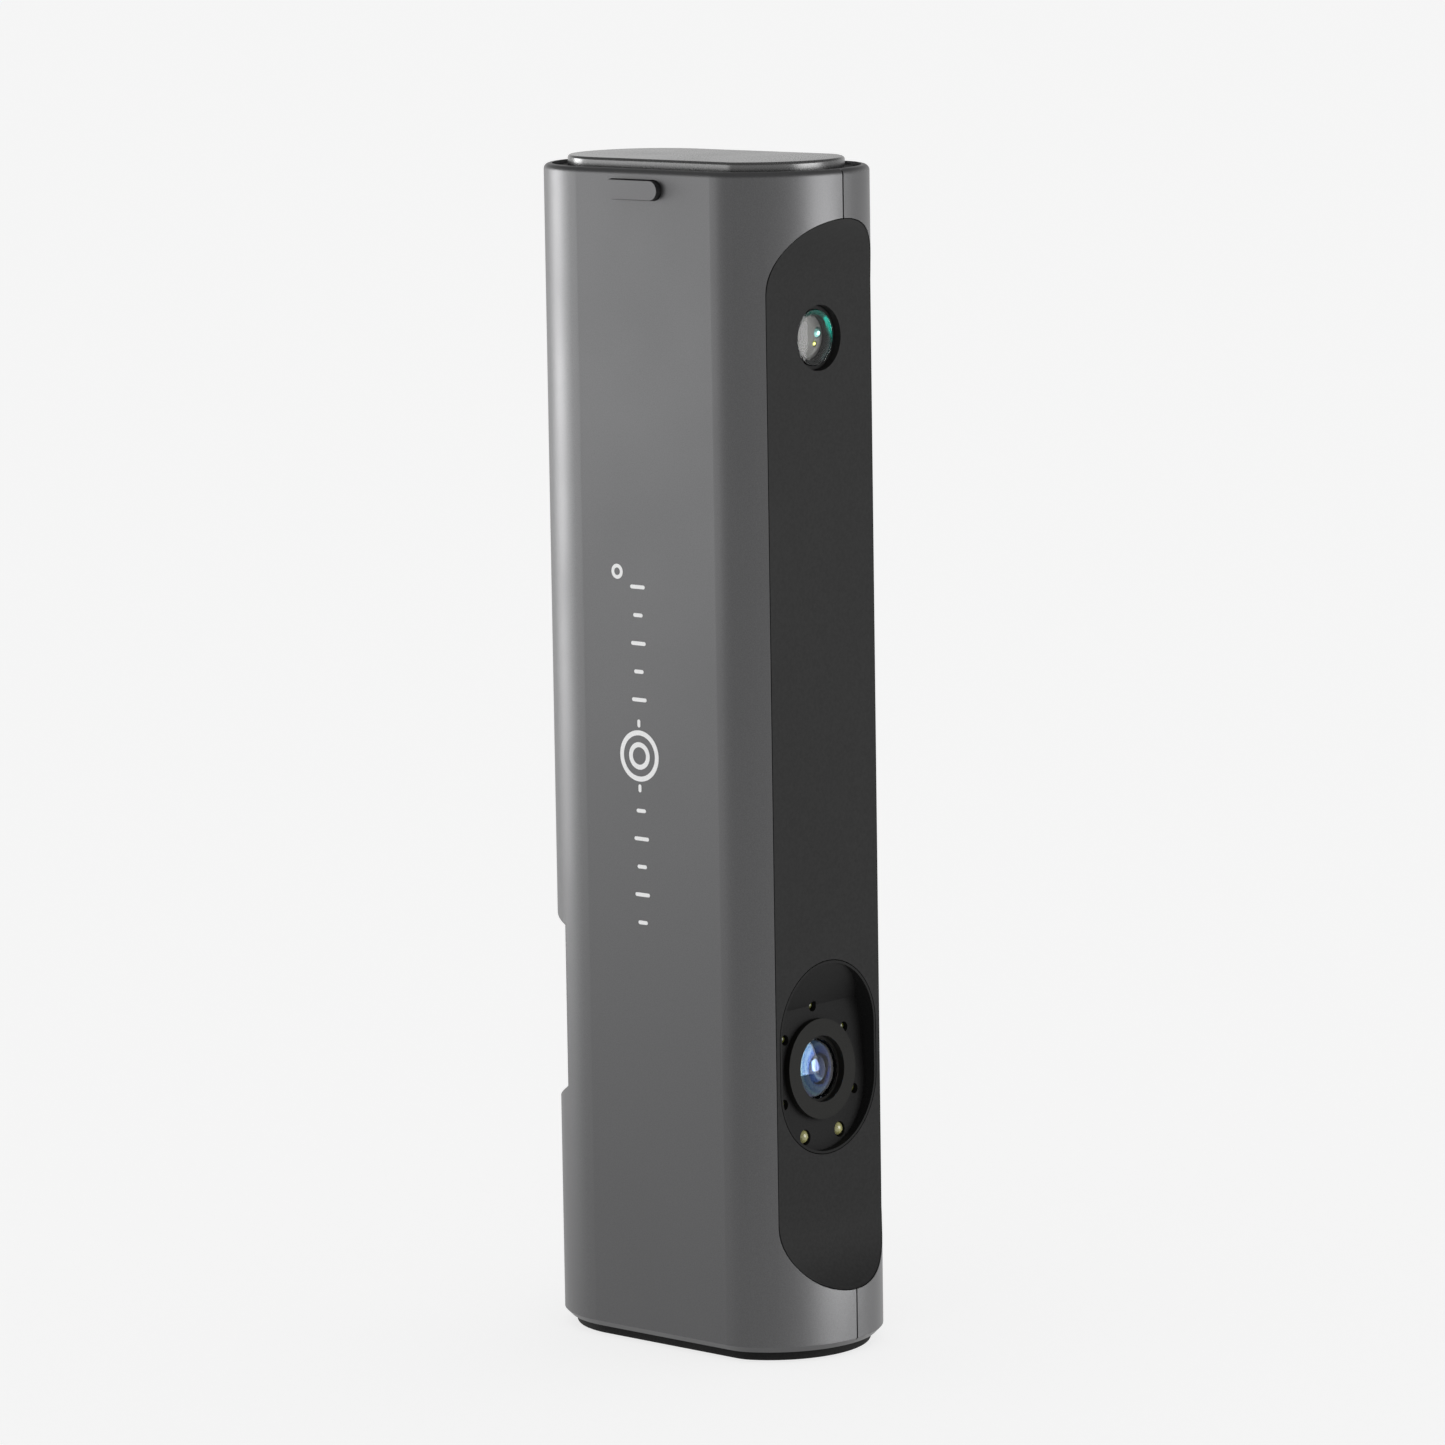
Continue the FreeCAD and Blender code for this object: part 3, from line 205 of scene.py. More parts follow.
def tint_and_reflection_rings(name, stops, centre, reach, **sockets):
    """An optic whose colour changes in rings round a centre: partly its coating's own tint, partly
    rings of painted reflection.

    The stops run from the centre to the reach, and both of those are metres.
    """
    nodes = Nodes(name)
    away = nodes.add("ShaderNodeVectorMath", operation="DISTANCE")
    away.inputs[1].default_value = centre
    nodes.link(nodes.place, away.inputs[0])
    share = nodes.math("DIVIDE", away.outputs["Value"], reach)
    ripple = nodes.math("MULTIPLY", nodes.noise(2.0, seed=4.0), 0.06)
    nodes.colour(nodes.ramp(nodes.math("ADD", share, ripple), stops))
    nodes.rough(nodes.between(nodes.noise(0.8), 0.02, 0.06))
    nodes.set(**sockets)
    return nodes.material


def make_materials():
    """Every material by the record's slot name, with a few more for the fine pieces.

    Each surface has its dark and light colour, its roughness, its grain and its relief.
    """
    return {
        "case_plastic": surface("case_paint", grey(0.088, 0.02), grey(0.108, 0.02), 0.42, 0.16,
                                0.004, Metallic=0.9),
        "black_plastic": surface("black_moulding", grey(0.010), grey(0.017), 0.48, 0.22, 0.02),
        "window_panel": surface("tinted_panel", grey(0.0155), grey(0.0200), 0.5, 0.5, 0.002,
                                Specular_IOR_Level=0.06),
        "gasket_rubber": surface("gasket", grey(0.008), grey(0.016), 0.7, 0.3, 0.03),
        "foot_rubber": surface("foot", grey(0.006), grey(0.011), 0.7, 0.35, 0.05,
                               Specular_IOR_Level=0.12),
        "steel_screw": surface("plated_steel", grey(0.46), grey(0.6), 0.28, 0.15, 0.008,
                               Metallic=1.0),
        "scoop": surface("scoop_moulding", grey(0.007), grey(0.012), 0.55, 0.22, 0.015,
                         Specular_IOR_Level=0.08),
        "black_metal": surface("black_anodised", grey(0.007, -0.1), grey(0.012, -0.1), 0.5, 0.12,
                               0.008, Specular_IOR_Level=0.1),
        "chip_package": surface("chip_package", grey(0.018), grey(0.03), 0.55, 0.12, 0.01),
        "sensor_silicon": surface("silicon", (0.09, 0.08, 0.17), (0.16, 0.13, 0.26), 0.12, 0.05,
                                  0.002, Metallic=0.8),
        "flat_cable": surface("amber_film", (0.42, 0.15, 0.02), (0.6, 0.25, 0.04), 0.3, 1.0, 0.01,
                              stretch=(1, 1, 0.1), Coat_Weight=0.5),
        "cast_aluminium": surface("blasted_aluminium", grey(0.5), grey(0.64), 0.45, 0.2, 0.03,
                                  Metallic=1.0),
        "anodised_plate": surface("dark_anodised", grey(0.16), grey(0.22), 0.36, 0.18, 0.006,
                                  stretch=(0.2, 1, 1), Metallic=0.9),
        "top_plate": surface("top_plate", grey(0.12), grey(0.14), 0.27, 0.18, 0.002, Metallic=0.9),
        "brass": surface("turned_brass", (0.5, 0.34, 0.12), (0.68, 0.5, 0.2), 0.28, 0.1, 0.006,
                         stretch=(1, 6, 1), Metallic=1.0),
        "tinned_steel": surface("tinned_steel", grey(0.5), grey(0.66), 0.26, 0.4, 0.006,
                                Metallic=1.0),
        "switch_metal": surface("stamped_metal", grey(0.42), grey(0.55), 0.32, 0.2, 0.008,
                                Metallic=1.0),
        "key_plastic": surface("key_moulding", grey(0.03), grey(0.042), 0.45, 0.2, 0.012),
        "circuit_board": board_material(),
        "lamp_resin": surface("lamp_resin", (0.20, 0.195, 0.07), (0.28, 0.27, 0.12), 0.2, 0.6,
                              0.004, Coat_Weight=0.6),
        # The lamp resin again, made darker: painted shade for the five upper lamps, which are the
        # same lamps lying in shadow.
        "dark_resin": surface("dark_resin", (0.030, 0.032, 0.004), (0.06, 0.065, 0.008), 0.25, 0.4,
                              0.004, Coat_Weight=0.3),
        "coated_glass": surface("plain_glass", (0.7, 0.78, 0.85), (0.8, 0.86, 0.9), 0.05, 1.0,
                                0.001, smudge=0.02, Transmission_Weight=1.0),
        "projector_glass": surface("frosted_glass", grey(0.15, -0.04), grey(0.19, -0.04), 0.5, 0.6,
                                   0.004, Specular_IOR_Level=0.3),
        "clear_glass": surface("clear_glass", grey(0.95), grey(0.99), 0.02, 2.0, 0.0002,
                               smudge=0.01, Transmission_Weight=1.0, IOR=1.2),
        # Bright tints for the projector's two lenslets: painted highlights, with the real reflection
        # of the front card on top.
        "cyan_coating": surface("cyan_coating", (0.35, 0.85, 0.80), (0.55, 0.98, 0.92), 0.2, 0.6,
                                0.002, Metallic=0.9),
        "lime_coating": surface("lime_coating", (0.70, 0.75, 0.15), (0.85, 0.88, 0.30), 0.2, 0.6,
                                0.002, Metallic=0.9),
        "print": surface("white_print", grey(0.68), grey(0.8), 0.5, 0.12, 0.004),
        "dark_line": surface("dark_line", grey(0.006), grey(0.010), 0.6, 0.2, 0.01,
                             Specular_IOR_Level=0.15),
        "gold": surface("gold_contact", (0.7, 0.48, 0.14), (0.85, 0.62, 0.24), 0.22, 0.08,
                        0.004, Metallic=1.0),
    }


# The CAD nodes that wear each material.
WEARS = {
    "case_plastic": ["left_shell", "right_shell", "side_key"],
    "black_plastic": ["bottom_cover", "camera_mount", "projector_housing", "pattern_slide"],
    "scoop": ["camera_bezel"],
    "dark_line": ["projector_bezel"],
    "window_panel": ["front_window"],
    "gasket_rubber": ["top_gasket", "window_gasket", "thermal_pad"],
    "foot_rubber": ["bottom_foot"],
    "steel_screw": ["board_screws", "bottom_screws", "frame_screws", "saddle_screws"],
    "black_metal": ["camera_barrel", "lens_ring"],
    "coated_glass": ["camera_front_lens", "camera_rear_lens", "ir_filter", "projector_rear_lens",
                     "status_light"],
    "projector_glass": ["projector_lens"],
    "lamp_resin": ["led_lenses", "led_chips", "status_led"],
    "chip_package": ["memory_chips", "processor"],
    "sensor_silicon": ["image_sensor"],
    "circuit_board": ["camera_board", "key_board", "led_board", "main_board", "projector_board",
                      "side_switch_board", "usb_board"],
    "flat_cable": ["camera_cable", "key_cable", "projector_cable", "usb_cable"],
    "cast_aluminium": ["optical_frame", "heat_sink"],
    "anodised_plate": ["saddle_plate", "key_panel"],
    "top_plate": ["top_cover"],
    "brass": ["thread_insert", "board_standoffs", "projector_emitter"],
    "tinned_steel": ["shield_can", "usb_receptacle"],
    "switch_metal": ["key_switches", "side_switch"],
    "key_plastic": ["scan_key", "plus_key", "minus_key", "usb_tongue"],
}


def dress(thing, material):
    """Gives a thing one material and no other."""
    thing.data.materials.clear()
    thing.data.materials.append(material)


def dress_nodes():
    """Gives every CAD node its material."""
    for slot, nodes in WEARS.items():
        for node in nodes:
            dress(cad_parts[node], MATERIALS[slot])


# ---------------------------------------------------------------- mesh helpers

SHARP_ANGLE = math.radians(35)


def added(thing):
    """Puts a new object in the scene."""
    bpy.context.scene.collection.objects.link(thing)
    return thing


def mesh_of(name, points, faces):
    mesh = bpy.data.meshes.new(name)
    mesh.from_pydata([tuple(point) for point in points], [], faces)
    return mesh


def piece(name, points, faces, material, slot, body="case", replaces=()):
    """A mesh piece that rides on a CAD body. Points are metres in the frame."""
    mesh = mesh_of(name, points, faces)
    mesh.validate()
    shape = bmesh.new()
    shape.from_mesh(mesh)
    bmesh.ops.recalc_face_normals(shape, faces=shape.faces)
    shape.to_mesh(mesh)
    shape.free()
    mesh.materials.append(MATERIALS[material])
    mesh.shade_smooth()
    mesh.set_sharp_from_angle(angle=SHARP_ANGLE)
    thing = added(bpy.data.objects.new(name, mesh))
    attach(thing, body)
    if replaces:
        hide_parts(*replaces)


def facing(centre, outward):
    """The frame of a part that looks outward: its third axis points out of the object."""
    out = Vector(outward).normalized()
    side = Vector((0, 0, 1)).cross(out).normalized()
    up = out.cross(side)
    turn = Matrix((side, up, out)).transposed().to_4x4()
    return Matrix.Translation(Vector(centre)) @ turn


def beside(at, across, up):
    """The same frame, moved across and up."""
    return at @ Matrix.Translation(Vector((across * MM, up * MM, 0)))


def out_at(at, radius, angle, height):
    """A point so far out from the third axis, at an angle and a height."""
    return at @ Vector((radius * math.cos(angle) * MM, radius * math.sin(angle) * MM, height * MM))


def turned(profile, at, segments=96):
    """Points and faces of a profile of (radius, height), turned round the third axis."""
    points = []
    faces = []
    rings = []
    for radius, height in profile:
        if radius < 1e-6:
            rings.append([len(points)])
            points.append(at @ Vector((0, 0, height * MM)))
            continue
        rings.append(list(range(len(points), len(points) + segments)))
        for step in range(segments):
            points.append(out_at(at, radius, 2 * math.pi * step / segments, height))
    for lower, upper in zip(rings, rings[1:]):
        for step in range(segments):
            after = (step + 1) % segments
            face = [lower[step % len(lower)], lower[after % len(lower)],
                    upper[after % len(upper)], upper[step % len(upper)]]
            face = list(dict.fromkeys(face))
            if len(face) > 2:
                faces.append(face)
    return points, faces


def dome(radius, rise, height, steps=12):
    """A profile from the rim of a spherical cap to its top."""
    curve = (radius * radius + rise * rise) / (2 * rise)
    reach = math.asin(radius / curve)
    profile = []
    for step in range(steps + 1):
        angle = reach * (1 - step / steps)
        profile.append((curve * math.sin(angle), height + curve * math.cos(angle) - curve + rise))
    profile[-1] = (0, height + rise)
    return profile


def slab(outline, at, low, high, edge):
    """A flat piece from an outline of (across, up), with its top edge eased."""
    count = len(outline)
    middle = Vector((sum(x for x, _ in outline) / count, sum(y for _, y in outline) / count))
    points = []
    for height, inset in ((low, 0.0), (high - edge, 0.0), (high, edge)):
        for x, y in outline:
            spot = Vector((x, y))
            spot = spot + (middle - spot).normalized() * inset
            points.append(at @ Vector((spot.x * MM, spot.y * MM, height * MM)))
    faces = [list(range(count))[::-1], list(range(2 * count, 3 * count))]
    for level in (0, count):
        above = level + count
        for step in range(count):
            after = (step + 1) % count
            faces.append([level + step, level + after, above + after, above + step])
    return points, faces


def bar(across, up, centre=(0, 0), steps=8):
    """The outline of a bar with round ends, its longer side along whichever way is longer."""
    radius = min(across, up) / 2
    reach = (max(across, up) - 2 * radius) / 2
    outline = []
    for end, start in ((1, -90), (-1, 90)):
        for step in range(steps + 1):
            angle = math.radians(start + 180 * step / steps)
            spot = (end * reach + radius * math.cos(angle), radius * math.sin(angle))
            if up > across:
                spot = (-spot[1], spot[0])
            outline.append((centre[0] + spot[0], centre[1] + spot[1]))
    return outline


def joined(parts):
    """Several (points, faces) as one."""
    points = []
    faces = []
    for some_points, some_faces in parts:
        start = len(points)
        points += some_points
        faces += [[start + index for index in face] for face in some_faces]
    return points, faces


def ring(outer, inner, at, low, high, edge):
    """A flat ring with eased top edges."""
    profile = [(inner, low), (inner, high - edge), (inner + edge, high), (outer - edge, high),
               (outer, high - edge), (outer, low), (inner, low)]
    return turned(profile[::-1], at, 64)


def middle_of(node):
    """The middle of a CAD node's box."""
    low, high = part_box(node)
    return (Vector(low) + Vector(high)) / 2


# ---------------------------------------------------------------- camera and projector optics

# The scanner's camera leans up by this much.
CAMERA_TILT = math.radians(5)
LENS_RADIUS = 4.85
LENS_BACK = -0.6
# The middle of the coating's rings, set beside the lens's own middle so that the pale rings of
# painted reflection sit off-centre.
REFLECTION_RING_CENTRE = (0.5, 0.3)
# Each lamp's place across and up from the lens ring's middle, and its size.
CLEAR_LAMPS = [(side * 4.2, -10.4, 2.3) for side in (-1, 1)]
# The five upper lamps are the same kind as the clear ones; their darker colour is painted shade.
SHADED_LAMPS = [
    (-8.5, -4.5, 1.5),
    (8.5, -4.5, 1.5),
    (-7.2, 5.6, 1.5),
    (7.2, 5.6, 1.5),
    (0, 10, 1.5),
]
CLEAR_LAMP_SUNK = 0.75
SHADED_LAMP_SUNK = 1.0
LAMP_BACK = -2.6
RING_HALF = 0.55
# The width of the ring of wall round the projector's frosted disc.
WALL_WIDE = 0.75
# Each lenslet's name, place across and up from the projector's middle, radius and material.
# The lenslets' bright tints are painted highlights.
LENSLETS = [
    ("projector_lenslet_large", 2.3, 0.5, 0.95, "cyan_coating"),
    ("projector_lenslet_small", 1.5, -1.1, 0.6, "lime_coating"),
]


def shell_of(radius, rise, height, thick):
    """The closed profile of a thin domed glass."""
    outside = dome(radius, rise, height)
    inside = [(across, up - thick) for across, up in outside]
    return outside + inside[::-1] + [outside[0]]


def domed_plug(radius, rise, height, low):
    """The closed profile of a solid with a domed top."""
    return [(0, low), (radius, low)] + dome(radius, rise, height)


def domed_washer(radius, inner, rise, height, low):
    """The closed profile of a ring cut from a dome."""
    top = [spot for spot in dome(radius, rise, height, 24) if spot[0] > inner]
    return [(radius, low)] + top + [(inner, low), (radius, low)]


def tube(outer, inner, outer_top, inner_top, low):
    """The closed profile of a ring whose top may slope inward."""
    return [(outer, outer_top), (inner, inner_top), (inner, low), (outer, low), (outer, outer_top)]


def make_camera_optics():
    """The camera's lens group, with coating tints and rings of painted reflection, in place of the
    plain front lens.
    """
    outward = (0, -math.cos(CAMERA_TILT), math.sin(CAMERA_TILT))
    at = facing(middle_of("camera_front_lens"), outward)
    glass = shell_of(radius=LENS_RADIUS - 0.05, rise=0.9, height=0.2, thick=0.2)
    piece("camera_glass", *turned(glass, at), "clear_glass", slot="coated_glass",
          replaces=["camera_front_lens"])
    across, up = REFLECTION_RING_CENTRE
    centre = at @ Vector((across * MM, up * MM, 0))
    # The blue stops are the coating's own tint; the pale stops are painted reflection.
    mid_stops = [
        (0.00, (0.004, 0.012, 0.06)),
        (0.50, (0.005, 0.016, 0.08)),
        (0.62, (0.008, 0.03, 0.11)),
        (0.72, (0.05, 0.085, 0.13)),
        (0.80, (0.012, 0.04, 0.10)),
        (0.90, (0.05, 0.09, 0.11)),
        (1.00, (0.04, 0.04, 0.09)),
    ]
    deep_stops = [
        (0.00, (0.03, 0.05, 0.11)),
        (0.42, (0.04, 0.055, 0.12)),
        (0.58, (0.05, 0.07, 0.14)),
        (0.70, (0.17, 0.25, 0.36)),
        (0.80, (0.02, 0.06, 0.19)),
        (1.00, (0.005, 0.03, 0.13)),
    ]
    MATERIALS["mid_coating"] = tint_and_reflection_rings("mid_coating", mid_stops, centre, 5.2 * MM, Metallic=1.0)
    MATERIALS["deep_coating"] = tint_and_reflection_rings("deep_coating", deep_stops, centre, 3.0 * MM, Metallic=1.0)
    seat = tube(outer=LENS_RADIUS - 0.07, inner=LENS_RADIUS - 0.2, outer_top=-0.1, inner_top=-0.1,
                low=LENS_BACK)
    piece("camera_lens_seat", *turned(seat, at), "dark_line", slot="black_metal")
    mid_lens = domed_washer(radius=4.6, inner=2.45, rise=0.75, height=-0.08, low=LENS_BACK)
    piece("camera_mid_lens", *turned(mid_lens, at), "mid_coating", slot="coated_glass")
    deep_lens = domed_plug(radius=2.42, rise=0.72, height=0.05, low=LENS_BACK)
    piece("camera_deep_lens", *turned(deep_lens, at), "deep_coating", slot="coated_glass")


def make_lamps():
    """The small lamps round the camera: two clear ones low down, and five more of the same kind
    whose darker resin is painted shade.
    """
    middle = middle_of("lens_ring")
    kinds = [
        ("clear_lamps", "lamp_resin", CLEAR_LAMPS, CLEAR_LAMP_SUNK, ["led_lenses"]),
        ("shaded_lamps", "dark_resin", SHADED_LAMPS, SHADED_LAMP_SUNK, []),
    ]
    for name, material, places, sunk, replaced in kinds:
        parts = []
        for across, up, size in places:
            back = middle.y + (RING_HALF + up * math.tan(CAMERA_TILT)) * MM
            at = facing((across * MM, back, middle.z + up * MM), (0, -1, 0))
            parts.append(turned(domed_plug(size / 2, size * 0.42, -sunk, LAMP_BACK), at, 32))
        piece(name, *joined(parts), material, slot="lamp_resin", replaces=replaced)


def make_projector_optics():
    """The projector's domed glass, and behind it a wall with a painted reflection on its far side, a
    frosted disc and two lenslets whose bright tints are painted highlights.
    """
    low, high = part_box("projector_lens")
    centre = (Vector(low) + Vector(high)) / 2
    at = facing((centre.x, low[1], centre.z), (0, -1, 0))
    radius = (high[2] - low[2]) / 2 / MM
    glass = shell_of(radius=radius - 0.05, rise=0.3, height=-0.32, thick=0.18)
    piece("projector_glass", *turned(glass, at), "clear_glass", slot="projector_glass",
          replaces=["projector_lens"])
    inner = radius - WALL_WIDE
    # The rings' centre is low on one side, so that only the far side of the wall shows colour: a
    # teal crescent of painted reflection.
    wall_centre = at @ Vector((-0.4 * radius * MM, -0.75 * radius * MM, 0))
    wall_stops = [
        (0.00, (0.003, 0.004, 0.004)),
        (0.80, (0.003, 0.006, 0.006)),
        (0.87, (0.0, 0.03, 0.024)),
        (0.95, (0.0, 0.07, 0.05)),
        (1.00, (0.003, 0.09, 0.07)),
    ]
    MATERIALS["beam_wall"] = tint_and_reflection_rings("beam_wall", wall_stops, wall_centre, 1.83 * radius * MM,
                                    Metallic=1.0)
    wall = tube(outer=radius - 0.06, inner=inner, outer_top=-0.55, inner_top=-0.75, low=-2.3)
    piece("projector_wall", *turned(wall, at), "beam_wall", slot="projector_glass")
    diffuser = domed_plug(radius=inner - 0.02, rise=0.35, height=-2.1, low=-2.5)
    piece("projector_diffuser", *turned(diffuser, at), "projector_glass", slot="projector_glass")
    for name, across, up, size, material in LENSLETS:
        spot = beside(at, across, up)
        lenslet = domed_plug(radius=size, rise=size * 0.55, height=-1.95, low=-2.2)
        piece(name, *turned(lenslet, spot, 40), material, slot="projector_glass")


# ---------------------------------------------------------------- print and key marks

# The flat left face.
FACE_X = -16.5
# The bottom and top of the print's ink from the face, and how far its top edge is eased.
PRINT_BODY = (-0.05, 0.02, 0.01)
PRINT_LINE = 0.62
LONG_TICK = 3.1
SHORT_TICK = 2.0
TICK_PITCH = 4.5
UPPER_TICKS = [104.8 + TICK_PITCH * step for step in range(5)]
LOWER_TICKS = [87.0 - TICK_PITCH * step for step in range(5)]
TICK_ACROSS = -1.0
TARGET_PLACE = (-1.2, 95.8)
DOT_PLACE = (-5.3, 125.0)


def make_side_print():
    """A plain white scale and target printed on the left side."""
    at = facing((FACE_X * MM, 0, 0), (-1, 0, 0))
    parts = []
    for count, height in enumerate(UPPER_TICKS + LOWER_TICKS):
        length = LONG_TICK if count % 2 == 0 else SHORT_TICK
        parts.append(slab(bar(length, PRINT_LINE, (TICK_ACROSS, height)), at, *PRINT_BODY))
    target = beside(at, *TARGET_PLACE)
    parts.append(ring(4.1, 3.3, target, *PRINT_BODY))
    parts.append(ring(2.2, 1.4, target, *PRINT_BODY))
    for side in (-1, 1):
        parts.append(slab(bar(PRINT_LINE, 1.3, (0, side * 5.2)), target, *PRINT_BODY))
    dot = beside(at, *DOT_PLACE)
    parts.append(ring(1.2, 0.6, dot, *PRINT_BODY))
    piece("side_print", *joined(parts), "print", slot="case_plastic")


def make_key_marks():
    """The marks on the keys at the back: a target on the scan key, a plus and a minus."""
    for key in ("scan", "plus", "minus"):
        node = key + "_key"
        low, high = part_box(node)
        at = facing((0, high[1], (low[2] + high[2]) / 2), (0, 1, 0))
        if key == "scan":
            parts = [ring(2.2, 1.8, at, *PRINT_BODY), ring(0.8, 0.3, at, *PRINT_BODY)]
        else:
            parts = [slab(bar(3.4, 0.5), at, *PRINT_BODY)]
        if key == "plus":
            for side in (1, -1):
                parts.append(slab(bar(0.5, 1.5, (0, side * 0.95)), at, *PRINT_BODY))
        piece(node + "_mark", *joined(parts), "print", slot="key_plastic", body=key + "_button")


# ---------------------------------------------------------------- thread, screws and contacts

# A 1/4-20 thread: pitch, depth, radius at its crests, and rows of points in each turn.
THREAD_PITCH = 1.27
THREAD_DEEP = 0.55
BORE_RADIUS = 2.55
THREAD_STEPS = 10
# The rows over which the thread fades in from a plain mouth.
MOUTH_ROWS = 6
MOUTH_DEEP = 0.25
KNURL = 0.1
HEX_ACROSS = 1.5
HEAD_RADIUS = 1.78
HEAD_TALL = 1.2
SHAFT_RADIUS = 0.98
CONTACTS = 12
CONTACT_PITCH = 0.5


def make_insert():
    """The brass insert in the saddle, with a real thread in its bore."""
    low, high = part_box("thread_insert")
    centre = (Vector(low) + Vector(high)) / 2
    at = facing((centre.x, high[1], centre.z), (0, 1, 0))
    outer = (high[0] - low[0]) / 2 / MM - 0.02
    length = (high[1] - low[1]) / MM
    segments = 72
    rows = int(length / THREAD_PITCH * THREAD_STEPS)
    points = []
    for row in range(rows + 1):
        height = -length * row / rows
        fade = min(1.0, row / MOUTH_ROWS)
        for step in range(segments):
            turn = step / segments
            phase = (height / THREAD_PITCH - turn) % 1
            deep = THREAD_DEEP * (1 - abs(2 * phase - 1)) * fade + MOUTH_DEEP * (1 - fade)
            points.append(out_at(at, BORE_RADIUS + deep, 2 * math.pi * turn, height))
    for radius, height in ((outer, -length), (outer, -0.15), (outer - 0.15, 0)):
        for step in range(segments):
            knurl = KNURL * (step % 2) if height < 0 else 0
            points.append(out_at(at, radius - knurl, 2 * math.pi * step / segments, height))
    faces = []
    levels = rows + 4
    for level in range(levels):
        for step in range(segments):
            after = (step + 1) % segments
            lower = level * segments
            upper = (level + 1) % levels * segments
            faces.append([lower + step, lower + after, upper + after, upper + step])
    piece("threaded_insert", points, faces, "brass", slot="brass", replaces=["thread_insert"])


def socket_screw(at, length):
    """A flat screw head with a hexagonal socket, and its shaft."""
    segments = 48
    angles = [2 * math.pi * step / segments for step in range(segments)]
    hexagon = []
    for angle in angles:
        within = (angle % (math.pi / 3)) - math.pi / 6
        hexagon.append(HEX_ACROSS / 2 / math.cos(within))
    rims = [
        ([SHAFT_RADIUS] * segments, -length),
        ([SHAFT_RADIUS] * segments, -HEAD_TALL),
        ([HEAD_RADIUS] * segments, -HEAD_TALL),
        ([HEAD_RADIUS] * segments, -0.12),
        ([HEAD_RADIUS - 0.12] * segments, 0),
        ([reach + 0.08 for reach in hexagon], 0),
        (hexagon, -0.08),
        (hexagon, -0.8),
    ]
    points = []
    for radii, height in rims:
        for angle, reach in zip(angles, radii):
            points.append(out_at(at, reach, angle, height))
    faces = []
    for level in range(len(rims) - 1):
        for step in range(segments):
            after = (step + 1) % segments
            lower = level * segments
            upper = lower + segments
            faces.append([lower + step, lower + after, upper + after, upper + step])
    faces.append(list(range(segments))[::-1])
    last = (len(rims) - 1) * segments
    faces.append(list(range(last, last + segments)))
    return points, faces


def make_saddle_screws():
    """The saddle plate's four screws, each turned its own way."""
    low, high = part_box("saddle_screws")
    inset = HEAD_RADIUS * MM
    parts = []
    for across in (low[0] + inset, high[0] - inset):
        for up in (low[2] + inset, high[2] - inset):
            at = facing((across, high[1] - 0.02 * MM, up), (0, 1, 0))
            at = at @ Matrix.Rotation((across + up) * 900, 4, "Z")
            parts.append(socket_screw(at, (high[1] - low[1]) / MM - 0.1))
    piece("saddle_socket_screws", *joined(parts), "steel_screw", slot="steel_screw",
          replaces=["saddle_screws"])


def make_contacts():
    """The gold contacts on both sides of the socket's tongue."""
    low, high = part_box("usb_tongue")
    parts = []
    for side, place in ((-1, low[0]), (1, high[0])):
        at = facing((place, (low[1] + high[1]) / 2, (low[2] + high[2]) / 2), (side, 0, 0))
        for index in range(CONTACTS):
            up = (index - (CONTACTS - 1) / 2) * CONTACT_PITCH
            parts.append(slab(bar(3.6, 0.26, (-side * 0.5, up)), at, -0.02, 0.02, 0.005))
    piece("socket_contacts", *joined(parts), "gold", slot="brass")


# ---------------------------------------------------------------- floor, lights and camera

# The camera's place is metres in the frame.
CAMERA_PLACE = Vector((-0.79893, -0.70997, 0.25530))
CAMERA_FORWARD = Vector((0.74052, 0.65633, -0.14446))
CAMERA_ROLL = math.radians(-0.877)
CAMERA_LENS = 168.1
FLOOR_RINGS = (0.0, 0.3, 1.0, 4.0, 15.0, 60.0)
FLOOR_ALBEDO = 0.4
FLOOR_GLOW = 0.755
# Each card's direction over the floor, and in metres its distance, width, bottom and top, then glow.
CARDS = {
    "rim_card": ((-0.24, 0.97), 0.55, 0.2, 0.0, 0.3, 8.6),
    "left_card": ((-0.74, 0.66), 0.6, 0.45, 0.03, 0.30, 1.7),
    "front_card": ((0.37, -0.93), 0.4, 0.26, 0.0, 0.27, 5.0),
}
LOW_CARD = ((0.37, -0.93), 0.2, 0.2, 0.0, 0.07, 10.5)
# The studio's brightness by height, from the horizon at 0 to overhead at 1.
STUDIO = [(0.0, 0.905), (0.2, 0.88), (0.42, 0.26), (0.9, 0.4)]


def make_camera():
    """A camera at the photograph's viewing angle."""
    data = bpy.data.cameras.new("camera")
    data.lens = CAMERA_LENS
    data.sensor_width = 36
    data.clip_start = 0.01
    data.clip_end = 200
    thing = added(bpy.data.objects.new("camera", data))
    forward = CAMERA_FORWARD.normalized()
    right = forward.cross(Vector((0, 0, 1))).normalized()
    up = right.cross(forward)
    rolled_right = right * math.cos(CAMERA_ROLL) + up * math.sin(CAMERA_ROLL)
    rolled_up = up * math.cos(CAMERA_ROLL) - right * math.sin(CAMERA_ROLL)
    turn = Matrix((rolled_right, rolled_up, -forward)).transposed().to_4x4()
    thing.matrix_world = Matrix.Translation(CAMERA_PLACE) @ turn
    bpy.context.scene.camera = thing


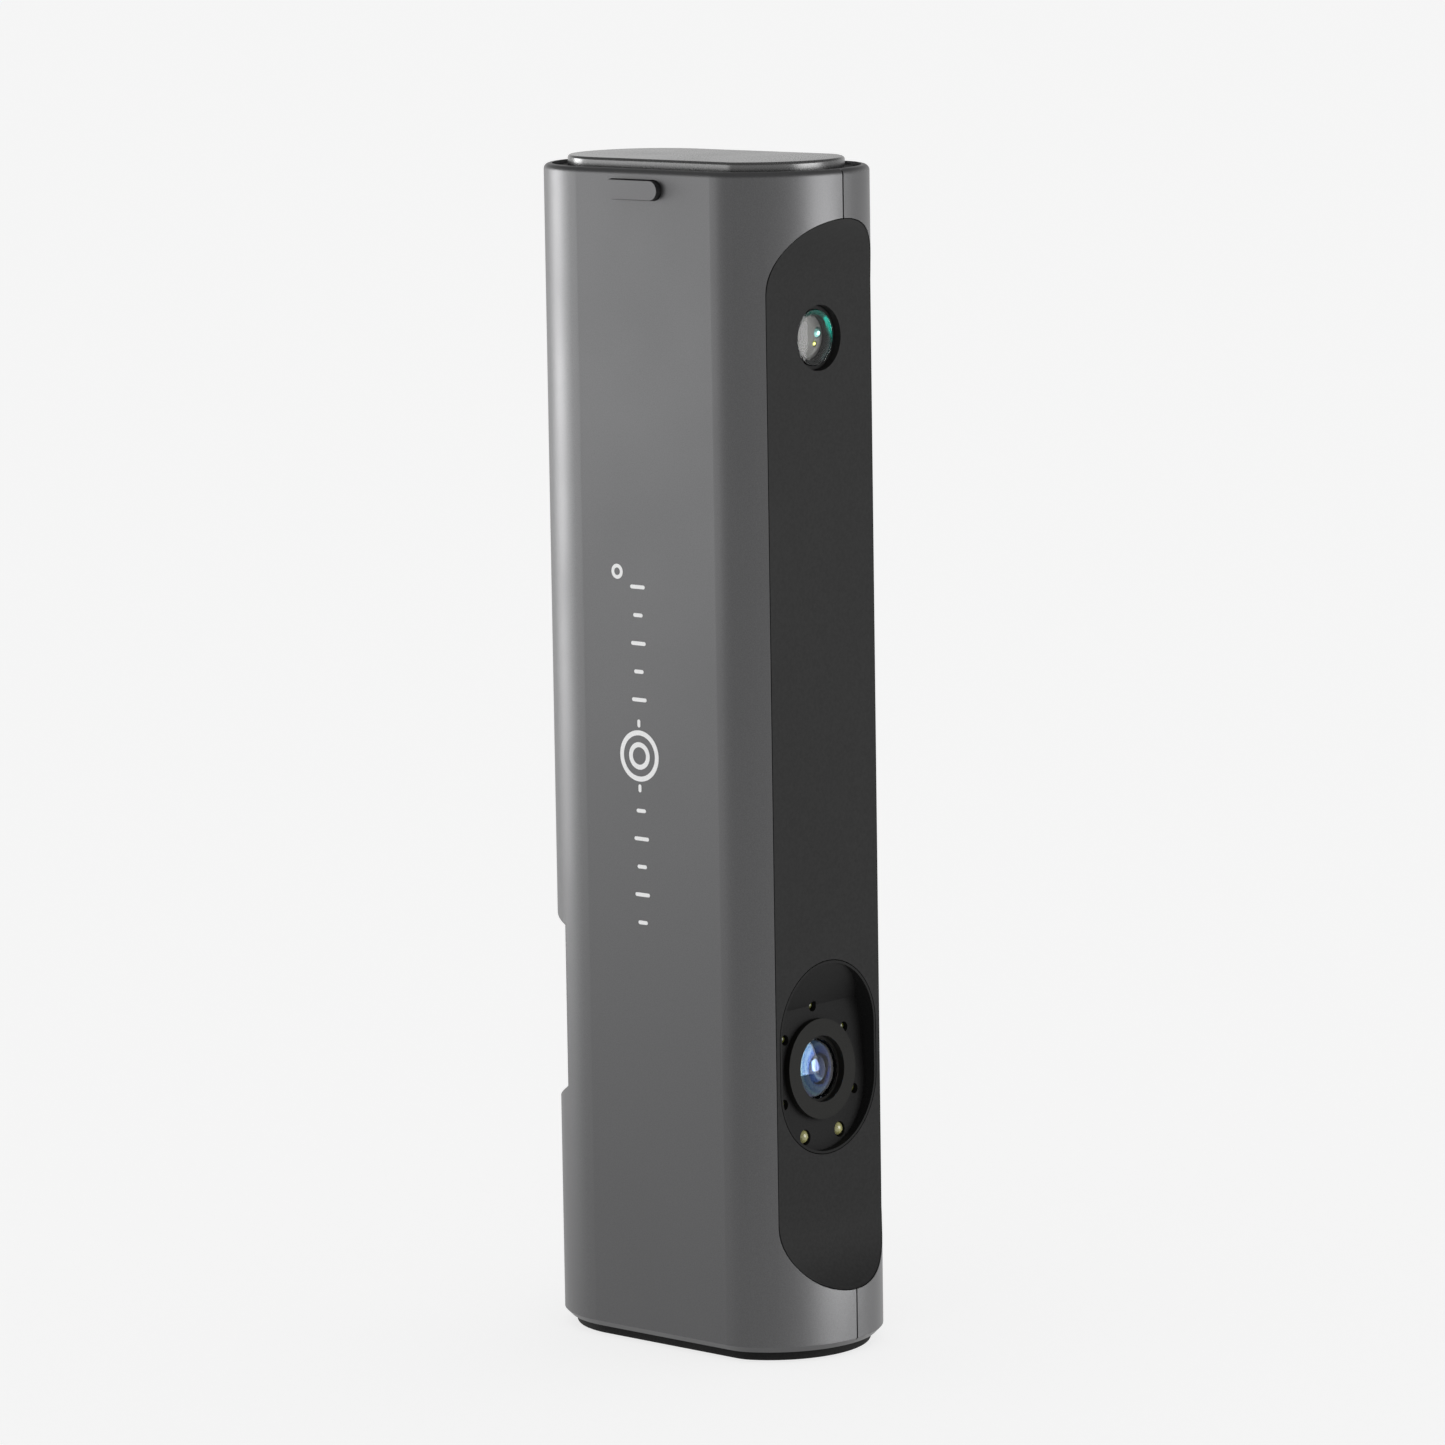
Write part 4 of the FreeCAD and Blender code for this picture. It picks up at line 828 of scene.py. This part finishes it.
def make_floor():
    """A wide pale floor that glows a little, so that it stays even out to the horizon."""
    profile = [(radius / MM, 0) for radius in FLOOR_RINGS]
    mesh = mesh_of("floor", *turned(profile, Matrix.Identity(4), 64))
    thing = added(bpy.data.objects.new("floor", mesh))
    nodes = Nodes("floor_paper")
    stops = [(0.3, grey(FLOOR_ALBEDO)), (0.7, grey(FLOOR_ALBEDO * 1.04))]
    nodes.colour(nodes.ramp(nodes.noise(2.0), stops))
    nodes.set(Roughness=0.9, Specular_IOR_Level=0.0, Emission_Color=(1, 1, 1, 1),
              Emission_Strength=FLOOR_GLOW)
    dress(thing, nodes.material)
    thing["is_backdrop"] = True


def card(lit, name, toward, away, width, low, high, glow):
    """An upright glowing card that lights only what it is given, so that the floor stays even."""
    data = bpy.data.lights.new(name, "AREA")
    data.shape = "RECTANGLE"
    data.size = width
    data.size_y = high - low
    data.energy = glow * math.pi * width * (high - low)
    thing = added(bpy.data.objects.new(name, data))
    out = Vector((*toward, 0)).normalized()
    place = out * away + Vector((0, 0, (low + high) / 2))
    thing.matrix_world = facing(place, out)
    thing.visible_camera = False
    thing.light_linking.receiver_collection = lit


def make_lights():
    """Three cards for the whole object, and a low one that lights only the two shells."""
    lit = bpy.data.collections.new("lit_by_cards")
    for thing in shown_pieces():
        lit.objects.link(thing)
    for name, settings in CARDS.items():
        card(lit, name, *settings)
    shells = bpy.data.collections.new("lit_low_down")
    for node in ("left_shell", "right_shell"):
        shells.objects.link(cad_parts[node])
    card(shells, "low_front_card", *LOW_CARD)


def make_world():
    """A studio as bright as the floor at the horizon, and darker overhead."""
    world = bpy.data.worlds.new("studio")
    world.use_nodes = True
    bpy.context.scene.world = world
    tree = world.node_tree
    background = tree.nodes["Background"]
    direction = tree.nodes.new("ShaderNodeTexCoord").outputs["Generated"]
    parts = tree.nodes.new("ShaderNodeSeparateXYZ")
    tree.links.new(direction, parts.inputs[0])
    ramp = tree.nodes.new("ShaderNodeValToRGB")
    tree.links.new(parts.outputs["Z"], ramp.inputs["Fac"])
    elements = ramp.color_ramp.elements
    while len(elements) < len(STUDIO):
        elements.new(0.5)
    for element, (position, value) in zip(elements, STUDIO):
        element.position = position
        element.color = (*grey(value), 1)
    tree.links.new(ramp.outputs["Color"], background.inputs["Color"])


# ---------------------------------------------------------------- the whole scene

MATERIALS = make_materials()
dress_nodes()
make_camera_optics()
make_lamps()
make_projector_optics()
make_insert()
make_saddle_screws()
make_contacts()
make_side_print()
make_key_marks()
make_floor()
make_lights()
make_world()
make_camera()
bpy.context.scene.view_settings.view_transform = "Standard"
